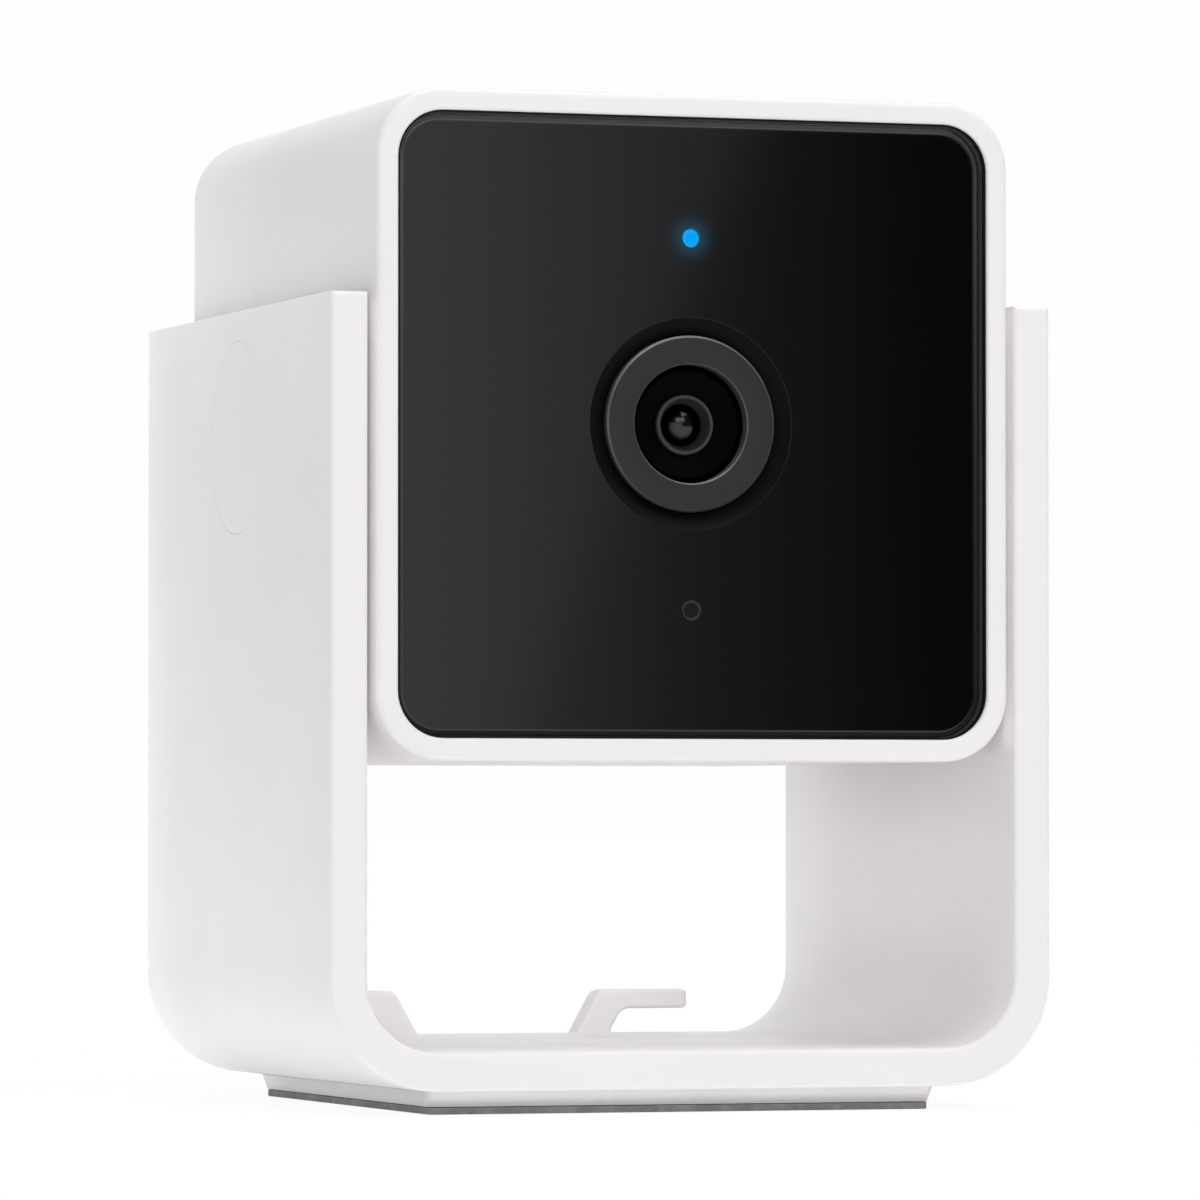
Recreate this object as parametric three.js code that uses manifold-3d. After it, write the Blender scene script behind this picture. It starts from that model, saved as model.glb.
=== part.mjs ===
// A cube-shaped pet camera that tilts in a U-shaped stand.
// Millimetres, +Z up. The lens looks along -Y, and the origin is under the middle of the foot.
import * as THREE from "three";
import { mergeVertices } from "three/addons/utils/BufferGeometryUtils.js";
import Module from "manifold-3d";

const wasm = await Module();
wasm.setup();

// Stand
const STAND = { width: 60, depth: 54, wall: 3.05, top: 64.2, bend: 8.7, edge: 0.4 };
const PLATE = { width: 42.8, depth: 47, middle: -0.5, corner: 1.2, taper: 0.45, thick: 1.3 };
const PAD = { inset: 0.1, thick: 0.6 };
const PLATE_SCREWS = [-15, 15];

// Cable hooks, moulded on the back edge of the stand's base
const HOOK = { foot: 7.2, lean: 1.9, stem: 2.7, reach: 17, height: 3.7, bar: 1.6, thick: 2.6 };
const HOOK_SET_BACK = 0.2;
const HOOK_END = 0.35; // rounding of the bar's end
const HOOK_ELBOW = 0.7; // rounding over and under the stem's top
const HOOK_ROOT = 0.6; // how far the stem runs down into the base

// Camera head, a rounded cube on the tilt axis
const PIVOT_HEIGHT = 54;
const HEAD = { size: 52.6, depth: 54.4, corner: 5.3, wall: 1.9, frontEdge: 0.5, backEdge: 1.5 };
const POCKET = { half: 24.55, corner: 3.7 }; // the opening that holds the panel
const PANEL = { recess: 1.3, thick: 1.2, gap: 0.2, edge: 0.5 };
const LEDGE = { half: 22.4, corner: 9, thick: 2 };
const GASKET_THICK = 0.3;
const GAP = 0.05; // between pieces that lie against each other
const PAST = 1; // how far a cutting tool runs past what it cuts

// Pivots, one at each side
const HUB = { radius: 3.95, bore: 4.1, flange: 5.5, flangeThick: 1, hole: 0.9 };
const CAP = { radius: 7.8, thick: 0.75, ledge: 1.1, play: 0.1, bevel: 0.15 };
const LEG_POCKET = 2; // depth of the recess in each leg
const FRICTION_WASHER = { inner: 4.2, outer: 7.5, play: 0.1 };
const RETAINER = { inner: 0.95, outer: 6.4, thick: 0.4, play: 0.09 };

// Optics, on the panel's middle line
const LENS_UP = 0.35; // above the tilt axis
const LENS_HOLE = 8.4; // radius of the panel's opening
const RING = { outer: 7, inner: 4.7, chamfer: 0.2 };
const SURROUND = { outer: 9.9, inner: 4.8, thick: 1.25, tubeOuter: 6.8, tubeInner: 5.8, tube: 3 };
const DISH = { high: 0.2, low: 0.7, play: 0.1 }; // depths of the dished trim round the ring
const BARREL = { outer: 4.5, thread: 4, bore: 2.45, step: -19, shoulder: 7.9, back: -9.6 };
const LIP = { depth: 1.5, radius: 2.35, wall: 0.15, foot: 0.4, crest: 0.5 }; // round the front glass
const FUNNEL = { radius: 1.7, depth: 1 };
const FRONT_GLASS = { radius: 1.65, sag: 0.5, thick: 0.9, proud: 0.35 };
const REAR_GLASS = { front: -14.5, radius: 2.35, sag: 0.7, thick: 0.8, bulge: 0.5 };
const HOLDER = { width: 16.4, height: 15, front: -14.5, back: -6.05 };
const CHANNEL = { half: 3.15, front: -9.3, back: -7.9, fork: 4.2 };
const FILTER = { pitch: 5, window: 4.4, height: 6, edge: 3.1, front: -9.15, back: -8.05, play: 0.05 };
const FORK = { slot: 0.55, prong: 0.7, top: 5, floor: 0.3 };
const LEVER = { arm: 5, up: 9.2, hub: 1.5, hole: 0.6, width: 0.7, tip: 0.4, swing: 30, play: 0.05 };
const COIL = { width: 10, front: -14, back: -10, height: 5.4, pin: 0.5, pinEnd: -7.3, play: 0.1 };

// Lights and microphone, above and below the lens
const STATUS_UP = 15.05;
const MIC_DOWN = 14.4;
const LIGHT_PIPE = { radius: 0.67, hole: 0.72, collar: 1.5, foot: 1.2 };
const MIC_HOLE = { radius: 0.45, sink: 0.78, sinkDepth: 0.3 };
const MIC_BOOT = 2;
const IR_LED = { spread: 12.5, base: 3.4, baseThick: 0.7, lens: 1.2, height: 1.5 };
const STATUS_CHIP = { side: 1.6, thick: 0.8 };
const MICROPHONE = { side: 3, thick: 1 };

// Boards behind the panel
const LED_BOARD = { half: 23.4, corner: 3, thick: 1, opening: 10.2, play: 0.35 };
const SENSOR_BOARD = { width: 45, height: 30, back: -5, thick: 1, hole: 0.85 };
const SENSOR_POST = { inside: 18.5, half: 2.5, screw: 20.6, hole: 0.7, holeDepth: 6 };
const IMAGE_SENSOR = { width: 7.6, height: 6.6, thick: 0.95, play: 0.4, window: 5 };

// Boards and loudspeaker behind the cover
const MAIN_BOARD = { width: 44, height: 34.8, front: 16, thick: 1.6, hole: 0.8 };
const STANDOFF = { x: 19, z: 14.5, radius: 1.9, hole: 0.6, holeDepth: 4 };
const SHIELD = { width: 17, height: 14, thick: 2.2, x: -8, z: 5 };
const SPEAKER = { up: 7, radius: 9.9, magnet: 6.2, back: 24.3, rim: 22.6, front: 19.6, wall: 1.3 };
const CONE = { radius: 8.4, dome: 3, thick: 0.4 };
const RIBBON = { width: 10, thick: 0.3, end: -9, belly: -15 };
const ANTENNA = { width: 20, from: -1, to: 7, thick: 0.4 };
const LEAD = { radius: 0.55, plugRadius: 1.3, plugThick: 1.35, plugX: 16, plugZ: 9 };

// Back cover and what shows in it
const COVER = { thick: 2, recess: 0.5, play: 0.15, corner: 3.45 };
const BOSS = { inside: 18.4, front: 12, screw: 21, hole: 0.8, holeDepth: 8 };
const COVER_HOLE = { radius: 0.95, sink: 1.75, sinkDepth: 0.9 };
const TONGUE = { x: 9, half: 3, reach: 3, thick: 1.3, nub: 0.6, nubFrom: 2.6, nubTo: 1.8, play: 0.3 };
const GRILLE = { hole: 0.55, pitch: 1.9, rings: 2 };
const USB = { down: 13.5, width: 8.9, height: 3.3, wall: 0.3, mouth: 26.2, depth: 6.5, slot: 0.25 };
const USB_TONGUE = { width: 6.6, height: 0.7, setBack: 0.8 };
const BUTTON = { x: 12, down: 13.5, radius: 1.6, proud: 0.25, hole: 1.75, flange: 2.5, stem: 1, tip: 21.1 };
const SWITCH = { side: 4.4, thick: 1.6, plunger: 0.9, reach: 2.9 };

// Screws: the radius and thickness of the head, the radius of the shank, and the whole length
const SCREWS = {
  plate: { head: 1.8, headThick: 0.85, shank: 0.85, length: 3.2, sunk: true },
  pivot: { head: 2.4, headThick: 0.6, shank: 0.8, length: 5 },
  cover: { head: 1.6, headThick: 0.8, shank: 0.7, length: 7 },
  sensor: { head: 1.5, headThick: 0.9, shank: 0.6, length: 5.5 },
  board: { head: 1.5, headThick: 0.9, shank: 0.55, length: 5.5 },
};

// Places worked out from the sizes above. Depths are along Y, from the tilt axis.
const FRONT = -HEAD.depth / 2;
const BACK = HEAD.depth / 2;
const HALF_HEAD = HEAD.size / 2;
const INSIDE = HALF_HEAD - HEAD.wall;
const PANEL_FRONT = FRONT + PANEL.recess;
const PANEL_BACK = PANEL_FRONT + PANEL.thick;
const LEDGE_FRONT = PANEL_BACK + GASKET_THICK + 2 * GAP;
const LEDGE_BACK = LEDGE_FRONT + LEDGE.thick;
const LED_BOARD_FRONT = LEDGE_BACK + GAP;
const LED_SEAT = LED_BOARD_FRONT - GAP;
const SENSOR_BOARD_FRONT = SENSOR_BOARD.back - SENSOR_BOARD.thick;
const MAIN_BOARD_BACK = MAIN_BOARD.front + MAIN_BOARD.thick;
const COVER_BACK = BACK - COVER.recess;
const COVER_FRONT = COVER_BACK - COVER.thick;
const BASE_UNDER = PAD.thick + PLATE.thick;
const BASE_TOP = BASE_UNDER + STAND.wall;
const LEG_OUTER = STAND.width / 2;
const LEG_INNER = LEG_OUTER - STAND.wall;
const LEG_FLOOR = LEG_OUTER - LEG_POCKET;
const SIDES = [-1, 1];

// Materials, as seen on the object
const finish = (color, roughness, metalness = 0) =>
  new THREE.MeshStandardMaterial({ color, roughness, metalness });
const WHITE_PLASTIC = finish(0xeeecec, 0.42);
const BLACK_GLOSS = finish(0x0b0b0c, 0.08);
const BLACK_MATT = finish(0x0a0a0a, 0.6);
const GREY_METAL = finish(0x3b3b3c, 0.45, 0.6);
const LENS_GLASS = finish(0x1a1416, 0.03);
const BLUE_LIGHT = finish(0x1aa8ff, 0.3);
const PLATE_METAL = finish(0xc4c3c4, 0.4, 0.8);
const PAD_RUBBER = finish(0x6b6c6d, 0.8);
const STEEL = finish(0xb8b8b8, 0.35, 0.9);
const BLACK_STEEL = finish(0x26262a, 0.45, 0.8);
const BOARD_GREEN = finish(0x1d5a3a, 0.5);
const CHIP_BLACK = finish(0x18181a, 0.5);
const IR_CUT_GLASS = finish(0x6f9fb4, 0.05);
const CLEAR_GLASS = finish(0xdfe8ea, 0.03);
const GREY_FOAM = finish(0x3c3c3e, 0.9);
const COPPER = finish(0xb87342, 0.4, 0.9);
const RIBBON_WHITE = finish(0xe6e6e0, 0.5);
const AMBER_FILM = finish(0x8a5a1c, 0.4);

// Solids

/** A closed geometry as a manifold-3d solid. */
function solidOf(geometry) {
  const bare = new THREE.BufferGeometry();
  bare.setAttribute("position", geometry.getAttribute("position"));
  bare.setIndex(geometry.getIndex());
  const merged = mergeVertices(bare, 1e-4);
  const mesh = new wasm.Mesh({
    numProp: 3,
    vertProperties: merged.attributes.position.array,
    triVerts: new Uint32Array(merged.index.array),
  });
  return new wasm.Manifold(mesh);
}

/** A manifold-3d solid as a geometry with flat faces. */
function geometryOf(solid) {
  const mesh = solid.getMesh();
  const geometry = new THREE.BufferGeometry();
  geometry.setAttribute("position", new THREE.BufferAttribute(mesh.vertProperties, 3));
  geometry.setIndex(new THREE.BufferAttribute(mesh.triVerts, 1));
  const flat = geometry.toNonIndexed();
  flat.computeVertexNormals();
  return flat;
}

/** The geometry with every tool taken out of it. */
function cut(geometry, ...tools) {
  return geometryOf(tools.reduce((left, tool) => left.subtract(solidOf(tool)), solidOf(geometry)));
}

/** Several geometries that touch or overlap, as one. */
function join(geometry, ...others) {
  return geometryOf(others.reduce((sum, other) => sum.add(solidOf(other)), solidOf(geometry)));
}

/** What two geometries have in common. */
function common(geometry, other) {
  return geometryOf(solidOf(geometry).intersect(solidOf(other)));
}

/** A box between two corners, named in either order. */
function block(from, to) {
  const size = from.map((value, i) => Math.abs(to[i] - value));
  const middle = from.map((value, i) => (to[i] + value) / 2);
  return new THREE.BoxGeometry(...size).translate(...middle);
}

/** A square tile that lies between two depths, centred on the Y axis. */
function tile(side, from, to) {
  return block([-side / 2, from, -side / 2], [side / 2, to, side / 2]);
}

/** A cylinder along Y between two depths, at x and z. */
function rod(radius, from, to, x = 0, z = 0, segments = 16) {
  const geometry = new THREE.CylinderGeometry(radius, radius, to - from, segments);
  return geometry.translate(x, (from + to) / 2, z);
}

/** A shape in the XZ plane, as a slab between two depths. */
function slab(shape, from, to, options = {}) {
  const geometry = new THREE.ExtrudeGeometry(shape, {
    depth: to - from,
    bevelEnabled: false,
    curveSegments: 4,
    ...options,
  });
  return geometry.rotateX(Math.PI / 2).translate(0, to, 0);
}

/** A profile of [radius, depth] points turned about the Y axis, written either way round. */
function turned(profile, segments = 24) {
  const area = profile.reduce((sum, [r, y], i) => {
    const [nextR, nextY] = profile[(i + 1) % profile.length];
    return sum + r * nextY - nextR * y;
  }, 0);
  const ordered = area > 0 ? profile : [...profile].reverse();
  const points = ordered.map(([r, y]) => new THREE.Vector2(r, y));
  const closes = points[0].x > 0 || points[points.length - 1].x > 0;
  return new THREE.LatheGeometry(closes ? [...points, points[0].clone()] : points, segments);
}

/** A flat ring about the Y axis. */
function washer(inner, outer, from, to) {
  return turned([[inner, from], [outer, from], [outer, to], [inner, to]], 20);
}

/** A rounded rectangle about the origin. */
function roundedRectangle(halfWidth, halfHeight, radius) {
  const shape = new THREE.Shape();
  const [w, h] = [halfWidth - radius, halfHeight - radius];
  shape.absarc(w, h, radius, 0, Math.PI / 2);
  shape.absarc(-w, h, radius, Math.PI / 2, Math.PI);
  shape.absarc(-w, -h, radius, Math.PI, 1.5 * Math.PI);
  shape.absarc(w, -h, radius, 1.5 * Math.PI, 2 * Math.PI);
  return shape;
}

/** A slot with two round ends, with its middle at z. */
function roundedSlot(halfWidth, halfHeight, from, to, z = 0) {
  const almostRound = halfHeight - 0.01;
  return slab(roundedRectangle(halfWidth, halfHeight, almostRound), from, to).translate(0, 0, z);
}

/** Rounded rectangles at several depths, each {y, w, h, r}, skinned into one closed body. */
function lofted(stations, cornerSteps) {
  const corners = [[1, 1], [-1, 1], [-1, -1], [1, -1]];
  const rings = stations.map(({ w, h, r }) =>
    corners.flatMap(([sx, sz], quarter) =>
      Array.from({ length: cornerSteps + 1 }, (_, step) => {
        const angle = (quarter + step / cornerSteps) * (Math.PI / 2);
        return [sx * (w - r) + r * Math.cos(angle), sz * (h - r) + r * Math.sin(angle)];
      }),
    ),
  );
  const count = rings[0].length;
  const vertices = rings.flatMap((ring, i) => ring.flatMap(([x, z]) => [x, stations[i].y, z]));
  vertices.push(0, stations[0].y, 0, 0, stations[stations.length - 1].y, 0);
  const [first, last] = [rings.length * count, rings.length * count + 1];
  const end = (rings.length - 1) * count;
  const faces = [];
  for (let j = 0; j < count; j++) {
    const k = (j + 1) % count;
    for (let i = 0; i + 1 < rings.length; i++) {
      const [a, b, c, d] = [i * count + j, i * count + k, (i + 1) * count + k, (i + 1) * count + j];
      faces.push(a, c, b, a, d, c);
    }
    faces.push(first, j, k, last, end + k, end + j);
  }
  const geometry = new THREE.BufferGeometry();
  geometry.setAttribute("position", new THREE.Float32BufferAttribute(vertices, 3));
  geometry.setIndex(faces);
  return geometry;
}

/** Stations of a rounded edge that starts at depth y: the outline widens as the arc runs inwards. */
function edgeStations(y, inwards, radius, outline, steps) {
  return Array.from({ length: steps + 1 }, (_, i) => {
    const angle = (i / steps) * (Math.PI / 2);
    const inset = radius * (1 - Math.sin(angle));
    const depth = y + inwards * radius * (1 - Math.cos(angle));
    return { y: depth, w: outline.w - inset, h: outline.h - inset, r: outline.r - inset };
  });
}

/** A screw along +Y, its head's face at 0 and its tip at its length, with a cross in its head. */
function screw({ head, headThick, shank, length, sunk = false }) {
  const under = sunk ? [[shank, headThick]] : [[head, headThick], [shank, headThick]];
  const body = turned([[0, 0], [head, 0], ...under, [shank, length - shank], [0, length]], 12);
  const [long, wide, deep] = [head * 0.6, head * 0.15, headThick * 0.5];
  const along = block([-long, -PAST, -wide], [long, deep, wide]);
  const across = block([-wide, -PAST, -long], [wide, deep, long]);
  return cut(body, along, across);
}

/** A named mesh in its place. */
function piece(name, geometry, material, position = [0, 0, 0]) {
  const mesh = new THREE.Mesh(geometry, material);
  mesh.name = name;
  mesh.position.set(...position);
  return mesh;
}

/** A group that holds what is given, raised by z. */
function group(z, ...children) {
  const made = new THREE.Group();
  made.position.z = z;
  return made.add(...children);
}

// Stand

/** The U-shaped bracket: two legs and a base, with pivot recesses and two cable hooks. */
function standBracket() {
  const shape = new THREE.Shape();
  const inner = STAND.bend - STAND.wall;
  const side = LEG_OUTER - STAND.bend;
  const bend = BASE_UNDER + STAND.bend;
  shape.moveTo(-LEG_OUTER, STAND.top);
  shape.lineTo(-LEG_OUTER, bend);
  shape.absarc(-side, bend, STAND.bend, Math.PI, 1.5 * Math.PI);
  shape.absarc(side, bend, STAND.bend, 1.5 * Math.PI, 2 * Math.PI);
  shape.lineTo(LEG_OUTER, STAND.top);
  shape.lineTo(LEG_INNER, STAND.top);
  shape.absarc(side, bend, inner, 0, -Math.PI / 2, true);
  shape.absarc(-side, bend, inner, 1.5 * Math.PI, Math.PI, true);
  shape.lineTo(-LEG_INNER, STAND.top);
  const half = STAND.depth / 2;
  const body = slab(shape, STAND.edge - half, half - STAND.edge, {
    bevelEnabled: true,
    bevelThickness: STAND.edge,
    bevelSize: STAND.edge,
    bevelOffset: -STAND.edge,
    bevelSegments: 1,
    curveSegments: 9,
  });
  const { shank, length } = SCREWS.plate;
  const plateHole = rod(shank + 0.1, -GAP, length, 0, 0, 12).rotateX(Math.PI / 2);
  const plateHoles = PLATE_SCREWS.map((x) => plateHole.clone().translate(x, PLATE.middle, PAD.thick));
  const whole = join(body, ...SIDES.map(cableHook));
  return cut(whole, ...SIDES.map(legRecess), ...plateHoles);
}

/** One cable hook: a stem that leans outwards and a bar that lies level. */
function cableHook(side) {
  const { foot, lean, stem, reach, height, bar, thick } = HOOK;
  const under = height - bar;
  const [end, elbow] = [HOOK_END, HOOK_ELBOW];
  const shape = new THREE.Shape();
  shape.moveTo(foot - 0.3, -HOOK_ROOT);
  shape.lineTo(foot, 0);
  shape.lineTo(foot + lean * 0.75, height - elbow);
  shape.quadraticCurveTo(foot + lean, height, foot + lean + elbow, height);
  shape.lineTo(reach - end, height);
  shape.quadraticCurveTo(reach, height, reach, height - end);
  shape.lineTo(reach, under + end);
  shape.quadraticCurveTo(reach, under, reach - end, under);
  shape.lineTo(foot + stem + 1 + elbow, under);
  shape.quadraticCurveTo(foot + stem + elbow, under, foot + stem + 0.4, under * 0.4);
  shape.lineTo(foot + stem, -HOOK_ROOT);
  const back = STAND.depth / 2 - HOOK_SET_BACK;
  const hook = slab(shape, back - thick, back).translate(0, 0, BASE_TOP);
  return side > 0 ? hook : hook.rotateZ(Math.PI).translate(0, 2 * back - thick, 0);
}

/** What is taken out of one leg: the bore, the recess for the washer and screw, the cap's seat. */
function legRecess(side) {
  const seat = LEG_OUTER - CAP.thick;
  const tool = turned(
    [
      [0, LEG_INNER - PAST],
      [HUB.bore, LEG_INNER - PAST],
      [HUB.bore, LEG_FLOOR],
      [CAP.radius - CAP.ledge, LEG_FLOOR],
      [CAP.radius - CAP.ledge, seat],
      [CAP.radius + CAP.play, seat],
      [CAP.radius + CAP.play, LEG_OUTER + PAST],
      [0, LEG_OUTER + PAST],
    ],
    32,
  );
  return tool.rotateZ((-side * Math.PI) / 2).translate(0, 0, PIVOT_HEIGHT);
}

/** The outline of the mounting plate, drawn in by inset. */
function plateOutline(y, inset) {
  return { y, w: PLATE.width / 2 - inset, h: PLATE.depth / 2 - inset, r: PLATE.corner - PLATE.taper };
}

/** The tapered plate under the stand, with its two countersunk holes. */
function mountingPlate() {
  const stations = [plateOutline(0, PLATE.taper), plateOutline(PLATE.thick - GAP, 0)];
  const body = lofted(stations, 3).rotateX(Math.PI / 2);
  const { head, headThick, shank } = SCREWS.plate;
  const [wide, narrow] = [head + 0.15, shank + 0.25];
  const sink = turned(
    [[0, -PAST], [wide, -PAST], [wide, GAP], [narrow, headThick + 0.1], [narrow, 2], [0, 2]],
    12,
  ).rotateX(Math.PI / 2);
  return cut(body, ...PLATE_SCREWS.map((x) => sink.clone().translate(x, 0, 0)));
}

/** The rubber pad under the plate. */
function footPad() {
  const inset = PLATE.taper + PAD.inset;
  const stations = [plateOutline(0, inset), plateOutline(PAD.thick - GAP, inset)];
  return lofted(stations, 3).rotateX(Math.PI / 2);
}

function makeStand() {
  const plateScrews = PLATE_SCREWS.map((x, i) => {
    const made = screw(SCREWS.plate).rotateX(Math.PI / 2);
    return piece(`plate_screw_${i + 1}`, made, STEEL, [x, PLATE.middle, PAD.thick + GAP]);
  });
  return group(
    0,
    piece("stand_bracket", standBracket(), WHITE_PLASTIC),
    piece("mounting_plate", mountingPlate(), PLATE_METAL, [0, PLATE.middle, PAD.thick]),
    piece("foot_pad", footPad(), PAD_RUBBER, [0, PLATE.middle, 0]),
    ...plateScrews,
  );
}

// Pivots, drawn along +Y from the tilt centre and turned to each side

/** The flush disc that covers a pivot screw. */
function pivotCap() {
  const [inner, outer] = [LEG_OUTER - CAP.thick + GAP, LEG_OUTER];
  const { radius, bevel } = CAP;
  return turned(
    [[0, inner], [radius, inner], [radius, outer - bevel], [radius - bevel, outer], [0, outer]],
    32,
  );
}

/** The flanged hub that is fixed in the head's side and turns in the leg's bore. */
function pivotHub() {
  const [inner, wall, end] = [INSIDE - GAP - HUB.flangeThick, INSIDE - GAP, LEG_FLOOR + GAP];
  const { hole, flange, radius } = HUB;
  return turned([[hole, inner], [flange, inner], [flange, wall], [radius, wall], [radius, end], [hole, end]]);
}

function makePivots() {
  const friction = [HALF_HEAD + FRICTION_WASHER.play, LEG_INNER - FRICTION_WASHER.play];
  const retainer = [LEG_FLOOR + RETAINER.play, LEG_FLOOR + RETAINER.play + RETAINER.thick];
  const screwFace = retainer[1] + GAP + SCREWS.pivot.headThick;
  const turns = [["left", 1], ["right", -1]].map(([side, sign]) => {
    const spring = washer(FRICTION_WASHER.inner, FRICTION_WASHER.outer, ...friction);
    const disc = washer(RETAINER.inner, RETAINER.outer, ...retainer);
    const drive = screw(SCREWS.pivot).rotateX(Math.PI);
    const turn = group(
      PIVOT_HEIGHT,
      piece(`pivot_cap_${side}`, pivotCap(), WHITE_PLASTIC),
      piece(`pivot_hub_${side}`, pivotHub(), STEEL),
      piece(`friction_washer_${side}`, spring, GREY_FOAM),
      piece(`retaining_washer_${side}`, disc, STEEL),
      piece(`pivot_screw_${side}`, drive, BLACK_STEEL, [0, screwFace, 0]),
    );
    turn.rotation.z = (sign * Math.PI) / 2;
    return turn;
  });
  return group(0, ...turns);
}

// Housing

/** The white sleeve: rim, ledge behind the panel, bosses for the cover, posts for the sensor board. */
function headShell() {
  const outline = { w: HALF_HEAD, h: HALF_HEAD, r: HEAD.corner };
  const body = lofted(
    [
      ...edgeStations(FRONT, 1, HEAD.frontEdge, outline, 1),
      ...edgeStations(BACK, -1, HEAD.backEdge, outline, 3).reverse(),
    ],
    6,
  );
  const pocket = roundedRectangle(POCKET.half, POCKET.half, POCKET.corner);
  const window = roundedRectangle(LEDGE.half, LEDGE.half, LEDGE.corner);
  const cavity = roundedRectangle(INSIDE, INSIDE, HEAD.corner - HEAD.wall);
  const hollow = cut(
    body,
    slab(pocket, FRONT - PAST, LEDGE_FRONT),
    slab(window, LEDGE_FRONT - PAST, LEDGE_BACK + PAST),
    slab(cavity, LEDGE_BACK, BACK + PAST),
  );
  const reach = INSIDE + HEAD.wall / 3;
  const within = roundedRectangle(HALF_HEAD - 1, HALF_HEAD - 1, HEAD.corner - 1);
  const envelope = slab(within, BOSS.front - PAST, COVER_FRONT);
  const bosses = SIDES.flatMap((sx) =>
    SIDES.map((sz) => {
      const inner = [sx * BOSS.inside, BOSS.front, sz * BOSS.inside];
      const outer = [sx * reach, COVER_FRONT - GAP, sz * reach];
      return common(block(inner, outer), envelope);
    }),
  );
  const { inside, half, screw: postScrew, hole, holeDepth } = SENSOR_POST;
  const postEnd = SENSOR_BOARD_FRONT - 0.1;
  const posts = SIDES.map((side) =>
    block([side * inside, LEDGE_BACK - GAP, -half], [side * reach, postEnd, half]),
  );
  const postHoles = SIDES.map((side) =>
    rod(hole, postEnd - holeDepth, postEnd + PAST, side * postScrew, 0, 8),
  );
  const coverHoles = SIDES.map((side) =>
    rod(BOSS.hole, COVER_FRONT - BOSS.holeDepth, COVER_FRONT + PAST, side * BOSS.screw, -BOSS.screw, 8),
  );
  const axle = rod(HUB.bore, -HALF_HEAD - PAST, HALF_HEAD + PAST, 0, 0, 24).rotateZ(Math.PI / 2);
  const { x, half: tongueHalf, nub, nubFrom, nubTo, play } = TONGUE;
  const grooves = SIDES.map((side) =>
    block(
      [side * x - tongueHalf - play, COVER_FRONT - nubFrom - play, INSIDE - PAST],
      [side * x + tongueHalf + play, COVER_FRONT - nubTo + play, INSIDE + nub + play / 2],
    ),
  );
  return cut(join(hollow, ...bosses, ...posts), axle, ...coverHoles, ...postHoles, ...grooves);
}

/** The black front panel, with openings for the lens, the status light and the microphone. */
function frontPanel() {
  const half = POCKET.half - PANEL.gap;
  const outline = { w: half, h: half, r: POCKET.corner - PANEL.gap };
  const stations = [...edgeStations(PANEL_FRONT, 1, PANEL.edge, outline, 2), { y: PANEL_BACK, ...outline }];
  const [from, to] = [FRONT, PANEL_BACK + PAST];
  const { radius, sink, sinkDepth } = MIC_HOLE;
  const micHole = turned(
    [[0, from], [sink, from], [sink, PANEL_FRONT], [radius, PANEL_FRONT + sinkDepth], [radius, to], [0, to]],
    16,
  );
  return cut(
    lofted(stations, 5),
    rod(LENS_HOLE, from, to, 0, LENS_UP, 36),
    rod(LIGHT_PIPE.hole, from, to, 0, STATUS_UP, 12),
    micHole.translate(0, 0, -MIC_DOWN),
  );
}

/** The foam frame that the panel is stuck down with. */
function panelGasket() {
  const [outside, inside] = [POCKET.half - PANEL.gap - GAP, LEDGE.half + PANEL.gap];
  const outer = roundedRectangle(outside, outside, POCKET.corner - PANEL.gap);
  const inner = roundedRectangle(inside, inside, LEDGE.corner);
  const front = PANEL_BACK + GAP;
  return cut(slab(outer, front, front + GASKET_THICK), slab(inner, front - PAST, front + PAST));
}

/** Places of the speaker grille's holes: one in the middle and rings of six and twelve. */
function grillePlaces() {
  const places = [[0, 0]];
  for (let ring = 1; ring <= GRILLE.rings; ring++) {
    const count = 6 * ring;
    for (let i = 0; i < count; i++) {
      const angle = (i / count) * 2 * Math.PI;
      places.push([ring * GRILLE.pitch * Math.cos(angle), ring * GRILLE.pitch * Math.sin(angle)]);
    }
  }
  return places;
}

/** The back cover, with the grille, the socket's slot, the button's hole, standoffs and tongues. */
function rearCover() {
  const half = INSIDE - COVER.play;
  const [from, to] = [COVER_FRONT - PAST, COVER_BACK + PAST];
  const board = MAIN_BOARD_BACK + GAP;
  const body = slab(roundedRectangle(half, half, COVER.corner), COVER_FRONT, COVER_BACK);
  const standoffs = SIDES.map((side) =>
    rod(STANDOFF.radius, board, COVER_FRONT + GAP, side * STANDOFF.x, side * STANDOFF.z, 12),
  );
  const tongues = SIDES.flatMap((side) => {
    const [left, right] = [side * TONGUE.x - TONGUE.half, side * TONGUE.x + TONGUE.half];
    return [
      block([left, COVER_FRONT - TONGUE.reach, half - TONGUE.thick], [right, COVER_FRONT + GAP, half]),
      block(
        [left, COVER_FRONT - TONGUE.nubFrom, half - TONGUE.thick],
        [right, COVER_FRONT - TONGUE.nubTo, INSIDE + TONGUE.nub],
      ),
    ];
  });
  const holes = grillePlaces().map(([x, z]) => rod(GRILLE.hole, from, to, x, SPEAKER.up + z, 6));
  const screwHoles = SIDES.flatMap((side) => [
    rod(COVER_HOLE.radius, from, to, side * BOSS.screw, -BOSS.screw, 8),
    rod(COVER_HOLE.sink, COVER_BACK - COVER_HOLE.sinkDepth, to, side * BOSS.screw, -BOSS.screw, 12),
    rod(STANDOFF.hole, board - PAST, board + STANDOFF.holeDepth, side * STANDOFF.x, side * STANDOFF.z, 8),
  ]);
  return cut(
    join(body, ...standoffs, ...tongues),
    roundedSlot(USB.width / 2 + USB.slot, USB.height / 2 + USB.slot, from, to, -USB.down),
    rod(BUTTON.hole, from, to, BUTTON.x, -BUTTON.down, 16),
    ...holes,
    ...screwHoles,
  );
}

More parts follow.
